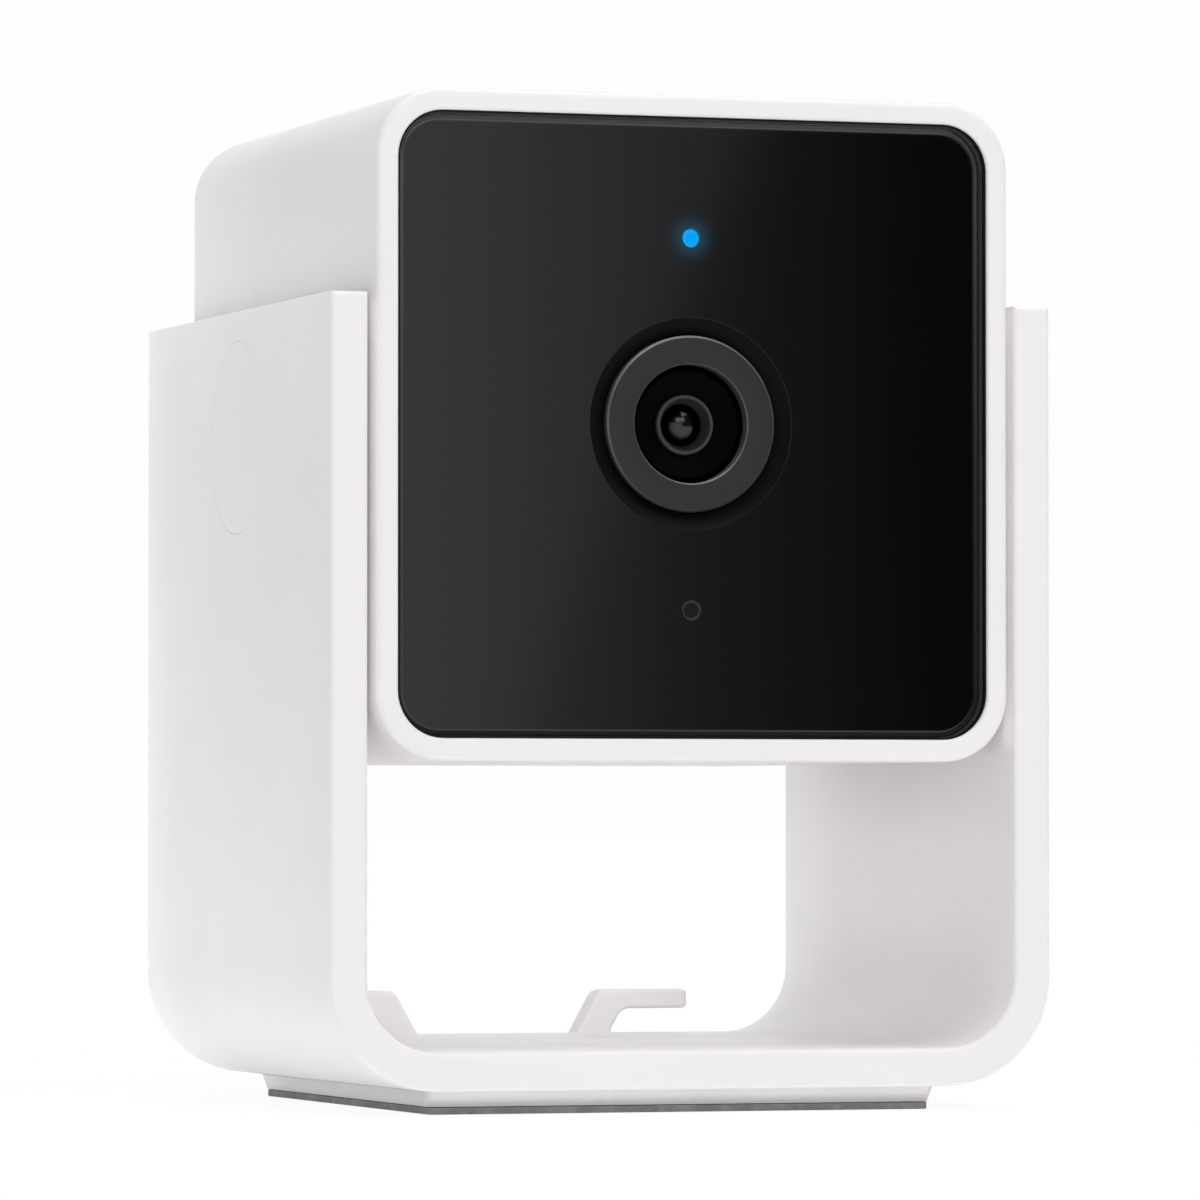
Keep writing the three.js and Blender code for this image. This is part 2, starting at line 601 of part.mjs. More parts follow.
function makeHousing() {
  const coverScrews = SIDES.map((side, i) => {
    const place = [side * BOSS.screw, COVER_BACK - GAP, -BOSS.screw];
    return piece(`cover_screw_${i + 1}`, screw(SCREWS.cover).rotateX(Math.PI), BLACK_STEEL, place);
  });
  return group(
    0,
    piece("head_shell", headShell(), WHITE_PLASTIC),
    piece("front_panel", frontPanel(), BLACK_GLOSS),
    piece("panel_gasket", panelGasket(), GREY_FOAM),
    piece("rear_cover", rearCover(), WHITE_PLASTIC),
    ...coverScrews,
  );
}

// Optics, centred on the lens

/** The grey ring round the lens, flush with the panel. */
function lensRing() {
  const { outer, inner, chamfer } = RING;
  return turned(
    [
      [inner, PANEL_BACK],
      [outer, PANEL_BACK],
      [outer, PANEL_FRONT + chamfer],
      [outer - chamfer, PANEL_FRONT],
      [inner + chamfer, PANEL_FRONT],
      [inner, PANEL_FRONT + chamfer],
    ],
    36,
  );
}

/** The black flange that carries the ring: dished between ring and panel, with a tube behind. */
function lensSurround() {
  const { outer, inner, thick, tubeOuter, tubeInner, tube } = SURROUND;
  const front = PANEL_BACK + GAP;
  const [step, end] = [front + thick, front + thick + tube];
  const [dishInner, dishOuter] = [RING.outer + DISH.play, LENS_HOLE - DISH.play];
  return turned([
    [inner, front],
    [dishInner, front],
    [dishInner, PANEL_FRONT + DISH.low],
    [dishOuter, PANEL_FRONT + DISH.high],
    [dishOuter, front],
    [outer, front],
    [outer, step],
    [tubeOuter, step],
    [tubeOuter, end],
    [tubeInner, end],
    [tubeInner, step],
    [inner, step],
  ]);
}

/** The lens barrel: a thin lip and a funnel round the glass, a smooth head and a threaded tail. */
function lensBarrel() {
  const { outer, thread, bore, step, shoulder, back } = BARREL;
  const rim = PANEL_FRONT + LIP.depth;
  const crest = rim - LIP.crest;
  return turned([
    [FUNNEL.radius, rim + FUNNEL.depth],
    [LIP.radius - LIP.wall, rim],
    [LIP.radius, rim],
    [LIP.radius, rim + LIP.foot],
    [outer - 0.25, crest],
    [outer, crest + 0.25],
    [outer, rim + shoulder],
    [thread, rim + shoulder],
    [thread, back],
    [bore, back],
    [bore, step],
    [FUNNEL.radius, step],
  ]);
}

/** A glass element with a domed front and a back that bulges out. */
function lensElement({ front, radius, sag, thick, bulge = 0 }) {
  const steps = 3;
  const dome = Array.from({ length: steps + 1 }, (_, i) => {
    const share = i / steps;
    return [radius * share, front + sag * share * share];
  });
  const end = front + sag + thick;
  return turned([...dome, [radius, end], [0, end + bulge]], 20);
}

/** The block that holds the barrel over the image sensor, with the filter's channel through it. */
function lensHolder() {
  const [w, h] = [HOLDER.width / 2, HOLDER.height / 2];
  const { front, back, half, fork } = CHANNEL;
  const { width, height, thick, play, window } = IMAGE_SENSOR;
  const [chipW, chipH, open] = [width / 2 + play, height / 2 + play, window / 2];
  return cut(
    block([-w, HOLDER.front, -h], [w, HOLDER.back, h]),
    rod(BARREL.thread + 0.1, HOLDER.front - PAST, front + GAP, 0, 0, 24),
    block([-w - PAST, front, -half], [w + PAST, back, half]),
    block([-fork, front, 0], [fork, back, h + PAST]),
    block([-open, back - GAP, -open], [open, HOLDER.back + PAST, open]),
    block([-chipW, HOLDER.back - thick - play / 2, -chipH], [chipW, HOLDER.back + PAST, chipH]),
  );
}

/** The filter's sliding frame: two windows side by side and a fork that the lever works in. */
function filterFrame() {
  const { pitch, window, height, edge, front, back } = FILTER;
  const { slot, prong, top, floor } = FORK;
  const [half, top0, middle] = [window / 2, height / 2, pitch / 2];
  const [from, to] = [front - PAST, back + PAST];
  return cut(
    join(
      block([-edge, front, -top0], [pitch + edge, back, top0]),
      block([middle - slot - prong, front, top0 - GAP], [middle + slot + prong, back, top]),
    ),
    block([middle - slot, from, top0 + floor], [middle + slot, to, top + PAST]),
    block([-half, from, -half], [half, to, half]),
    block([pitch - half, from, -half], [pitch + half, to, half]),
  );
}

/** The coil that works the filter, with the pin that its lever turns on. */
function filterCoil() {
  const { width, front, back, height, pin, pinEnd, play } = COIL;
  const low = HOLDER.height / 2 + play;
  const body = block([-width / 2, front, low], [width / 2, back, low + height]);
  return join(body, rod(pin, back - GAP, pinEnd, 0, LEVER.up, 12));
}

/** The magnet and its lever, hanging down into the filter's fork. */
function filterLever() {
  const { arm, hub, hole, width, tip, play } = LEVER;
  const [from, to] = [FILTER.front + play, FILTER.back - play];
  const body = join(
    rod(hub, from, to),
    block([-width / 2, from, -arm], [width / 2, to, 0]),
    rod(tip, from, to, 0, -arm, 12),
  );
  return cut(body, rod(hole, from - PAST, to + PAST));
}

function makeOptics() {
  const frontGlass = PANEL_FRONT + LIP.depth + FUNNEL.depth - FRONT_GLASS.proud;
  const pane = () => {
    const { window, front, back, play } = FILTER;
    return tile(window - 2 * play, front + 0.3, back - 0.3);
  };
  const lever = piece("filter_lever", filterLever(), BLACK_STEEL, [0, 0, LEVER.up]);
  lever.rotation.y = -THREE.MathUtils.degToRad(LEVER.swing);
  return group(
    LENS_UP,
    piece("lens_ring", lensRing(), GREY_METAL),
    piece("lens_surround", lensSurround(), BLACK_MATT),
    piece("lens_barrel", lensBarrel(), BLACK_MATT),
    piece("front_lens", lensElement({ front: frontGlass, ...FRONT_GLASS }), LENS_GLASS),
    piece("rear_lens", lensElement(REAR_GLASS), LENS_GLASS),
    piece("lens_holder", lensHolder(), CHIP_BLACK),
    piece("filter_coil", filterCoil(), COPPER),
    piece("filter_frame", filterFrame(), CHIP_BLACK),
    piece("ir_cut_glass", pane(), IR_CUT_GLASS),
    piece("clear_glass", pane(), CLEAR_GLASS, [FILTER.pitch, 0, 0]),
    lever,
  );
}

// Electronics behind the panel

/** The board round the lens, which carries the lights and the microphone. */
function ledBoard() {
  const { half, corner, thick, opening, play } = LED_BOARD;
  const [from, to] = [LED_BOARD_FRONT, LED_BOARD_FRONT + thick];
  const [inner, tall] = [SENSOR_POST.inside - play, SENSOR_POST.half + play];
  const notches = SIDES.map((side) =>
    block([side * inner, from - PAST, -tall], [side * (half + PAST), to + PAST, tall]),
  );
  return cut(
    slab(roundedRectangle(half, half, corner), from, to),
    rod(opening, from - PAST, to + PAST, 0, LENS_UP, 28),
    ...notches,
  );
}

/** An infrared emitter: a square base and a small dome that faces the panel. */
function irLed() {
  const { base, baseThick, lens, height } = IR_LED;
  const crown = LED_SEAT - height;
  const dome = turned(
    [
      [0, crown],
      [lens * 0.65, crown + 0.2],
      [lens, crown + height / 2],
      [lens, LED_SEAT - GAP],
      [0, LED_SEAT - GAP],
    ],
    12,
  );
  return join(tile(base, LED_SEAT - baseThick, LED_SEAT), dome);
}

/** The light guide from the status light to the panel's face. */
function lightPipe() {
  const { radius, collar, foot } = LIGHT_PIPE;
  const [front, step, end] = [PANEL_FRONT + GAP, PANEL_BACK + GAP, LED_SEAT - STATUS_CHIP.thick - GAP];
  return turned([[0, front], [radius, front], [radius, step], [collar, step], [foot, end], [0, end]], 16);
}

function makeFrontElectronics() {
  const emitters = SIDES.flatMap((sz) => SIDES.map((sx) => [sx * IR_LED.spread, 0, sz * IR_LED.spread]));
  const chip = tile(STATUS_CHIP.side, LED_SEAT - STATUS_CHIP.thick, LED_SEAT);
  const can = tile(MICROPHONE.side, LED_SEAT - MICROPHONE.thick, LED_SEAT);
  const boot = washer(MIC_HOLE.radius, MIC_BOOT, PANEL_BACK + GAP, LED_SEAT - MICROPHONE.thick - GAP);
  return group(
    0,
    piece("led_board", ledBoard(), BOARD_GREEN),
    ...emitters.map((place, i) => piece(`ir_led_${i + 1}`, irLed(), LENS_GLASS, place)),
    piece("status_led", chip, CLEAR_GLASS, [0, 0, STATUS_UP]),
    piece("light_pipe", lightPipe(), BLUE_LIGHT, [0, 0, STATUS_UP]),
    piece("microphone", can, STEEL, [0, 0, -MIC_DOWN]),
    piece("mic_gasket", boot, GREY_FOAM, [0, 0, -MIC_DOWN]),
  );
}

/** The board that carries the image sensor and the lens holder. */
function sensorBoard() {
  const { width, height, back, hole } = SENSOR_BOARD;
  const [w, h] = [width / 2, height / 2];
  const holes = SIDES.map((side) =>
    rod(hole, SENSOR_BOARD_FRONT - PAST, back + PAST, side * SENSOR_POST.screw, 0, 8),
  );
  return cut(block([-w, SENSOR_BOARD_FRONT, -h], [w, back, h]), ...holes);
}

function makeSensor() {
  const [w, h] = [IMAGE_SENSOR.width / 2, IMAGE_SENSOR.height / 2];
  const chip = block([-w, HOLDER.back - IMAGE_SENSOR.thick, -h], [w, HOLDER.back, h]);
  const face = SENSOR_BOARD.back + GAP + SCREWS.sensor.headThick;
  const screws = SIDES.map((side, i) => {
    const made = screw(SCREWS.sensor).rotateX(Math.PI);
    return piece(`sensor_screw_${i + 1}`, made, STEEL, [side * SENSOR_POST.screw, face, 0]);
  });
  return group(
    0,
    piece("sensor_board", sensorBoard(), BOARD_GREEN),
    piece("image_sensor", chip, CHIP_BLACK, [0, 0, LENS_UP]),
    ...screws,
  );
}

// Electronics behind the cover

/** The main board, held to the cover by two screws. */
function mainBoard() {
  const { width, height, front, hole } = MAIN_BOARD;
  const [w, h] = [width / 2, height / 2];
  const holes = SIDES.map((side) =>
    rod(hole, front - PAST, MAIN_BOARD_BACK + PAST, side * STANDOFF.x, side * STANDOFF.z, 8),
  );
  return cut(block([-w, front, -h], [w, MAIN_BOARD_BACK, h]), ...holes);
}

/** The power socket: a metal shell with round ends and the tongue inside it. */
function usbSocket() {
  const [w, h] = [USB.width / 2, USB.height / 2];
  const shell = roundedSlot(w, h, MAIN_BOARD_BACK + GAP, USB.mouth);
  const floor = USB.mouth - USB.depth;
  const mouth = roundedSlot(w - USB.wall, h - USB.wall, floor, USB.mouth + PAST);
  const { width, height, setBack } = USB_TONGUE;
  const tongue = block([-width / 2, floor - GAP, -height / 2], [width / 2, USB.mouth - setBack, height / 2]);
  return join(cut(shell, mouth), tongue);
}

/** The setup button: a cap, a flange that keeps it in the cover, and a stem. */
function setupButton() {
  const { radius, proud, flange, stem, tip } = BUTTON;
  const outer = COVER_BACK + proud;
  const stop = COVER_FRONT - 0.1;
  return turned(
    [
      [0, tip],
      [stem, tip],
      [stem, stop - 0.6],
      [flange, stop - 0.6],
      [flange, stop],
      [radius, stop],
      [radius, outer - proud],
      [radius - proud, outer],
      [0, outer],
    ],
    16,
  );
}

/** The little switch that the button presses. */
function tactSwitch() {
  const face = MAIN_BOARD_BACK + GAP;
  const { side, thick, plunger, reach } = SWITCH;
  return join(tile(side, face, face + thick), rod(plunger, face + thick - GAP, face + reach, 0, 0, 12));
}

/** The loudspeaker's frame and magnet in one can. */
function speakerCan() {
  const { radius, magnet, back, rim, front, wall } = SPEAKER;
  return turned([
    [0, front],
    [magnet, front],
    [magnet, rim],
    [radius, rim],
    [radius, back],
    [radius - wall, back],
    [radius - wall, rim + 0.5],
    [0, rim + 0.5],
  ]);
}

/** The loudspeaker's cone, a shallow dish with a domed middle. */
function speakerCone() {
  const { radius, dome, thick } = CONE;
  const [edge, floor] = [SPEAKER.back - 0.1, SPEAKER.rim + 0.6];
  return turned([
    [0, floor],
    [dome, floor],
    [radius, edge - thick],
    [radius, edge],
    [radius - 2 * thick, edge],
    [dome, floor + thick],
    [dome / 2, floor + 2 * thick],
    [0, floor + 2 * thick],
  ]);
}

/** A flat strip that follows a curve in the YZ plane, as wide as given along X. */
function strip(curve, thick, width, steps) {
  const at = curve.getPoints(steps);
  const side = (sign) =>
    at.map((point, i) => {
      const along = curve.getTangent(i / steps);
      const offset = (sign * thick) / 2;
      return new THREE.Vector2(point.x - along.y * offset, point.y + along.x * offset);
    });
  const shape = new THREE.Shape([...side(-1), ...side(1).reverse()]);
  const geometry = new THREE.ExtrudeGeometry(shape, { depth: width, bevelEnabled: false });
  const sideways = new THREE.Matrix4().set(0, 0, 1, -width / 2, 1, 0, 0, 0, 0, 1, 0, 0, 0, 0, 0, 1);
  return geometry.applyMatrix4(sideways);
}

/** The ribbon between the two boards, slack in the middle. */
function ribbonCable() {
  const [from, to] = [SENSOR_BOARD.back + 0.1, MAIN_BOARD.front - 0.1];
  const { width, thick, end, belly } = RIBBON;
  const points = [
    [from, end],
    [from + 2.5, end - 0.4],
    [from + 7, (end + belly) / 2 - 1],
    [(from + to) / 2, belly],
    [to - 7, (end + belly) / 2 - 1],
    [to - 2.5, end - 0.4],
    [to, end],
  ];
  const curve = new THREE.SplineCurve(points.map(([y, z]) => new THREE.Vector2(y, z)));
  return strip(curve, thick, width, 18);
}

/** The aerial's thin lead, from the strip under the roof to its plug on the main board. */
function antennaLead() {
  const { radius, plugRadius, plugThick, plugX, plugZ } = LEAD;
  const plugBack = MAIN_BOARD.front - GAP;
  const plugFront = plugBack - plugThick;
  const half = ANTENNA.width / 2;
  const points = [
    [half + 0.2, 3, 23.4],
    [half + 3, 3.2, 22.6],
    [plugX, 6, 19.5],
    [plugX + 1, 10, 14],
    [plugX, plugFront - 1.4, plugZ + 1.2],
    [plugX, plugFront + 0.4, plugZ],
  ];
  const path = new THREE.CatmullRomCurve3(points.map((point) => new THREE.Vector3(...point)));
  const section = new THREE.Shape();
  section.absarc(0, 0, radius, 0, 2 * Math.PI);
  const lead = new THREE.ExtrudeGeometry(section, { extrudePath: path, steps: 16, curveSegments: 3 });
  return join(lead, rod(plugRadius, plugFront, plugBack, plugX, plugZ, 12));
}

function makeRearElectronics() {
  const under = MAIN_BOARD.front - GAP;
  const [shieldW, shieldH] = [SHIELD.width / 2, SHIELD.height / 2];
  const shield = block([-shieldW, under - SHIELD.thick, -shieldH], [shieldW, under, shieldH]);
  const foam = washer(SPEAKER.radius - 1.4, SPEAKER.radius, SPEAKER.back + GAP, COVER_FRONT - GAP);
  const film = block(
    [-ANTENNA.width / 2, ANTENNA.from, INSIDE - 0.1 - ANTENNA.thick],
    [ANTENNA.width / 2, ANTENNA.to, INSIDE - 0.1],
  );
  const boardScrews = SIDES.map((side, i) => {
    const place = [side * STANDOFF.x, under - SCREWS.board.headThick, side * STANDOFF.z];
    return piece(`board_screw_${i + 1}`, screw(SCREWS.board), STEEL, place);
  });
  return group(
    0,
    piece("main_board", mainBoard(), BOARD_GREEN),
    piece("shield_can", shield, STEEL, [SHIELD.x, 0, SHIELD.z]),
    piece("usb_socket", usbSocket(), STEEL, [0, 0, -USB.down]),
    piece("tact_switch", tactSwitch(), CHIP_BLACK, [BUTTON.x, 0, -BUTTON.down]),
    piece("setup_button", setupButton(), WHITE_PLASTIC, [BUTTON.x, 0, -BUTTON.down]),
    piece("speaker_can", speakerCan(), CHIP_BLACK, [0, 0, SPEAKER.up]),
    piece("speaker_cone", speakerCone(), GREY_FOAM, [0, 0, SPEAKER.up]),
    piece("speaker_gasket", foam, GREY_FOAM, [0, 0, SPEAKER.up]),
    piece("ribbon_cable", ribbonCable(), RIBBON_WHITE),
    piece("antenna", film, AMBER_FILM),
    piece("antenna_lead", antennaLead(), CHIP_BLACK),
    ...boardScrews,
  );
}

const head = group(
  PIVOT_HEIGHT,
  makeHousing(),
  makeOptics(),
  makeFrontElectronics(),
  makeSensor(),
  makeRearElectronics(),
);
const petCamera = group(0, makeStand(), makePivots(), head);

export default petCamera;
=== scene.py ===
"""A cube-shaped pet camera that tilts between the legs of its stand.

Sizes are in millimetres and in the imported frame: +Z is up and the lens looks along -Y.
"""

import functools
import logging
import math
from dataclasses import dataclass, field
from enum import Enum
from typing import Callable, Iterable, Sequence

import bmesh
import bpy
from mathutils import Matrix, Vector


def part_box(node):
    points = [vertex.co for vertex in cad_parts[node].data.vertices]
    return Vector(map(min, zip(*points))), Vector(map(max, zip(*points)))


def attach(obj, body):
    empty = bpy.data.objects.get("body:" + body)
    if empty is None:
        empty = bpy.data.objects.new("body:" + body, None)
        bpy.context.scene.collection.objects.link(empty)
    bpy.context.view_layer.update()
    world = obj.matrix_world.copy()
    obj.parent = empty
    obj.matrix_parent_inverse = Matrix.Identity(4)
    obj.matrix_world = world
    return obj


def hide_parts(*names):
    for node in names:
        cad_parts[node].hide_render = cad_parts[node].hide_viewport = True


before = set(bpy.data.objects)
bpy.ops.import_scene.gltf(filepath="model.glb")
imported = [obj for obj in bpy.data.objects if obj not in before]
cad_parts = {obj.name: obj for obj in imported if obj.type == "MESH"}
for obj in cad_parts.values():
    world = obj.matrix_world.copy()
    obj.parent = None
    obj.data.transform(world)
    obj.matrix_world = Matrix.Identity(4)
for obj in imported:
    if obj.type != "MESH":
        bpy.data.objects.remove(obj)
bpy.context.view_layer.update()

MM = 0.001
QUARTER = math.pi / 2
FULL = 2 * math.pi
SIDES = {-1: "left", 1: "right"}
SHARP_ANGLE = math.radians(38)  # edges bent further than this stay crisp
SUPPORT = 0.03  # width of the flat ring beside a rounded edge, which keeps its shading off the face
ARC_DETAIL = 5.5  # chords of a corner of 1 mm radius
LEAST_RADIUS = 0.01
MERGE = 1e-4
FINE, CRISP, SOFT, ROUND = 0.02, 0.05, 0.1, 0.2  # roundings of the edges of small parts
CLEARANCE = 0.05  # between parts that lie against each other
BLACKNESS = (0.0, 0.0, 0.0)
WHITE_LIGHT = (1.0, 1.0, 1.0)

# Heights over the table, and places on the back cover, which more than one sub-assembly uses.
TILT_UP = 54.0
LENS_UP = 54.35
STATUS_LIGHT_UP = 69.05
MICROPHONE_UP = TILT_UP - 14.4
SOCKET_UP = TILT_UP - 13.5
BUTTON_PLACE = (12.0, TILT_UP - 13.5)

Point = tuple[float, float]
Station = tuple[float, float]  # a depth, and how far an outline is drawn in there
Triple = tuple[float, float, float]
Colour = Triple
Inputs = dict[str, object]
Socket = bpy.types.NodeSocket
Material = bpy.types.Material
Object = bpy.types.Object
Tone = Colour | Socket
Ring = list[bmesh.types.BMVert]

log = logging.getLogger("pet_camera")


# Outlines


class Axis(Enum):
    """The direction that a loft, a turned piece or a hole runs in."""

    X = 0
    Y = 1
    Z = 2

    def place(self, u: float, v: float, depth: float) -> Vector:
        """The point at (u, v) in the plane across this axis, at a depth along it."""
        spots = {Axis.X: (depth, u, v), Axis.Y: (u, depth, v), Axis.Z: (u, v, depth)}
        return Vector(spots[self])

    @property
    def direction(self) -> Vector:
        """The unit vector along this axis."""
        return self.place(0, 0, 1)


class Operation(Enum):
    """What a boolean does with two pieces."""

    CUT = "DIFFERENCE"
    JOIN = "UNION"


@dataclass(frozen=True)
class Corner:
    """A corner of an outline, rounded to a radius."""

    u: float
    v: float
    radius: float = 0.0

    @property
    def steps(self) -> int:
        """How many chords its arc is drawn with."""
        return max(3, round(ARC_DETAIL * math.sqrt(self.radius))) if self.radius else 0


class Outline:
    """A closed line in a plane, which can be drawn in or let out evenly."""

    def points(self, inset: float = 0.0) -> list[Point]:
        """The outline's points, counter-clockwise, drawn in by inset."""
        raise NotImplementedError


@dataclass(frozen=True)
class Circle(Outline):
    """A circle about (u, v)."""

    radius: float
    u: float = 0.0
    v: float = 0.0
    steps: int = 64

    def points(self, inset: float = 0.0) -> list[Point]:
        """The circle's points, drawn in by inset.

        Args:
            inset: how far the outline is drawn in.

        Returns:
            The points.
        """
        radius = self.radius - inset
        angles = [i / self.steps * FULL for i in range(self.steps)]
        return [(self.u + radius * math.cos(a), self.v + radius * math.sin(a)) for a in angles]


@dataclass(frozen=True)
class Polygon(Outline):
    """Straight sides with rounded corners, listed counter-clockwise."""

    corners: tuple[Corner, ...]

    def points(self, inset: float = 0.0) -> list[Point]:
        """The outline's points, drawn in by inset, with the arcs kept round.

        Args:
            inset: how far the outline is drawn in.

        Returns:
            The points.
        """
        made: list[Point] = []
        count = len(self.corners)
        for i, corner in enumerate(self.corners):
            before, after = self.corners[i - 1], self.corners[(i + 1) % count]
            here = Vector((corner.u, corner.v))
            arriving = (here - Vector((before.u, before.v))).normalized()
            leaving = (Vector((after.u, after.v)) - here).normalized()
            made += self._arc(corner, here, arriving, leaving, inset)
        return made

    @staticmethod
    def _arc(corner: Corner, here: Vector, arriving: Vector, leaving: Vector, inset: float) -> list[Point]:
        """The points of one corner.

        Args:
            corner: the corner before it is drawn in.
            here: its place.
            arriving: the direction of the side before it.
            leaving: the direction of the side after it.
            inset: how far the outline is drawn in.

        Returns:
            One point for a sharp corner, or the points of its arc.
        """
        left_in = Vector((-arriving.y, arriving.x))
        left_out = Vector((-leaving.y, leaving.x))
        spot = here + (left_in + left_out) * (inset / (1 + left_in.dot(left_out)))
        if not corner.steps:
            return [tuple(spot)]
        turn = math.atan2(arriving.x * leaving.y - arriving.y * leaving.x, arriving.dot(leaving))
        side = 1 if turn > 0 else -1
        radius = max(corner.radius - side * inset, LEAST_RADIUS)
        start = spot - arriving * (radius * math.tan(abs(turn) / 2))
        centre = start + left_in * (side * radius)
        arm = start - centre
        made = []
        for step in range(corner.steps + 1):
            angle = turn * step / corner.steps
            sine, cosine = math.sin(angle), math.cos(angle)
            u = centre.x + arm.x * cosine - arm.y * sine
            v = centre.y + arm.x * sine + arm.y * cosine
            made.append((u, v))
        return made


def polygon(*corners: tuple[float, ...]) -> Polygon:
    """A polygon from (u, v) or (u, v, radius) corners, listed either way round.

    Args:
        corners: the corners, in order.

    Returns:
        The polygon, with its corners listed counter-clockwise.
    """
    made = [Corner(*corner) for corner in corners]
    area = sum(a.u * b.v - b.u * a.v for a, b in zip(made, made[1:] + made[:1]))
    return Polygon(tuple(made if area > 0 else reversed(made)))


def rectangle(half_u: float, half_v: float, radius: float, u: float = 0.0, v: float = 0.0) -> Polygon:
    """A rounded rectangle about (u, v)."""
    signs = ((1, 1), (-1, 1), (-1, -1), (1, -1))
    return polygon(*((u + su * half_u, v + sv * half_v, radius) for su, sv in signs))


def rounded_edge(face: float, inward: int, radius: float, steps: int = 5) -> list[Station]:
    """Stations of a rounded edge, from the flat face round to the wall.

    Args:
        face: the depth of the flat face.
        inward: 1 or -1, the direction from the face into the body.
        radius: the radius of the edge.
        steps: how many chords the arc is drawn with.

    Returns:
        Pairs of a depth and how far the outline is drawn in there.
    """
    made = [(face, radius + SUPPORT)]
    for step in range(steps + 1):
        angle = step / steps * QUARTER
        made.append((face + inward * radius * (1 - math.cos(angle)), radius * (1 - math.sin(angle))))
    return made + [(face + inward * (radius + SUPPORT), 0.0)]


def as_hole(stations: Iterable[Station]) -> list[Station]:
    """The same stations for a hole, whose outline is let out where a body's is drawn in."""
    return [(depth, -inset) for depth, inset in stations]


def rounded_ends(front: float, back: float, radius: float) -> list[Station]:
    """Stations of a body that runs from a front face to a back face, with a rounded edge at each."""
    way = 1 if back > front else -1
    return rounded_edge(front, way, radius, 3) + rounded_edge(back, -way, radius, 3)[::-1]


def through(front: float, back: float, radius: float) -> list[Station]:
    """Stations of a hole with rounded rims that runs from a front face to a back face."""
    return as_hole(rounded_ends(front, back, radius))


@dataclass(frozen=True)
class Hole:
    """A hole along an axis: its outline and its stations, from the face that it starts in."""

    outline: Outline
    stations: Sequence[Station]
    blind: bool = False


def round_hole(radius: float, place: Point, faces: Point, edge: float, steps: int = 48) -> Hole:
    """A round hole with rounded rims, through a plate between two faces."""
    return Hole(Circle(radius, *place, steps), through(*faces, edge))


# Solids


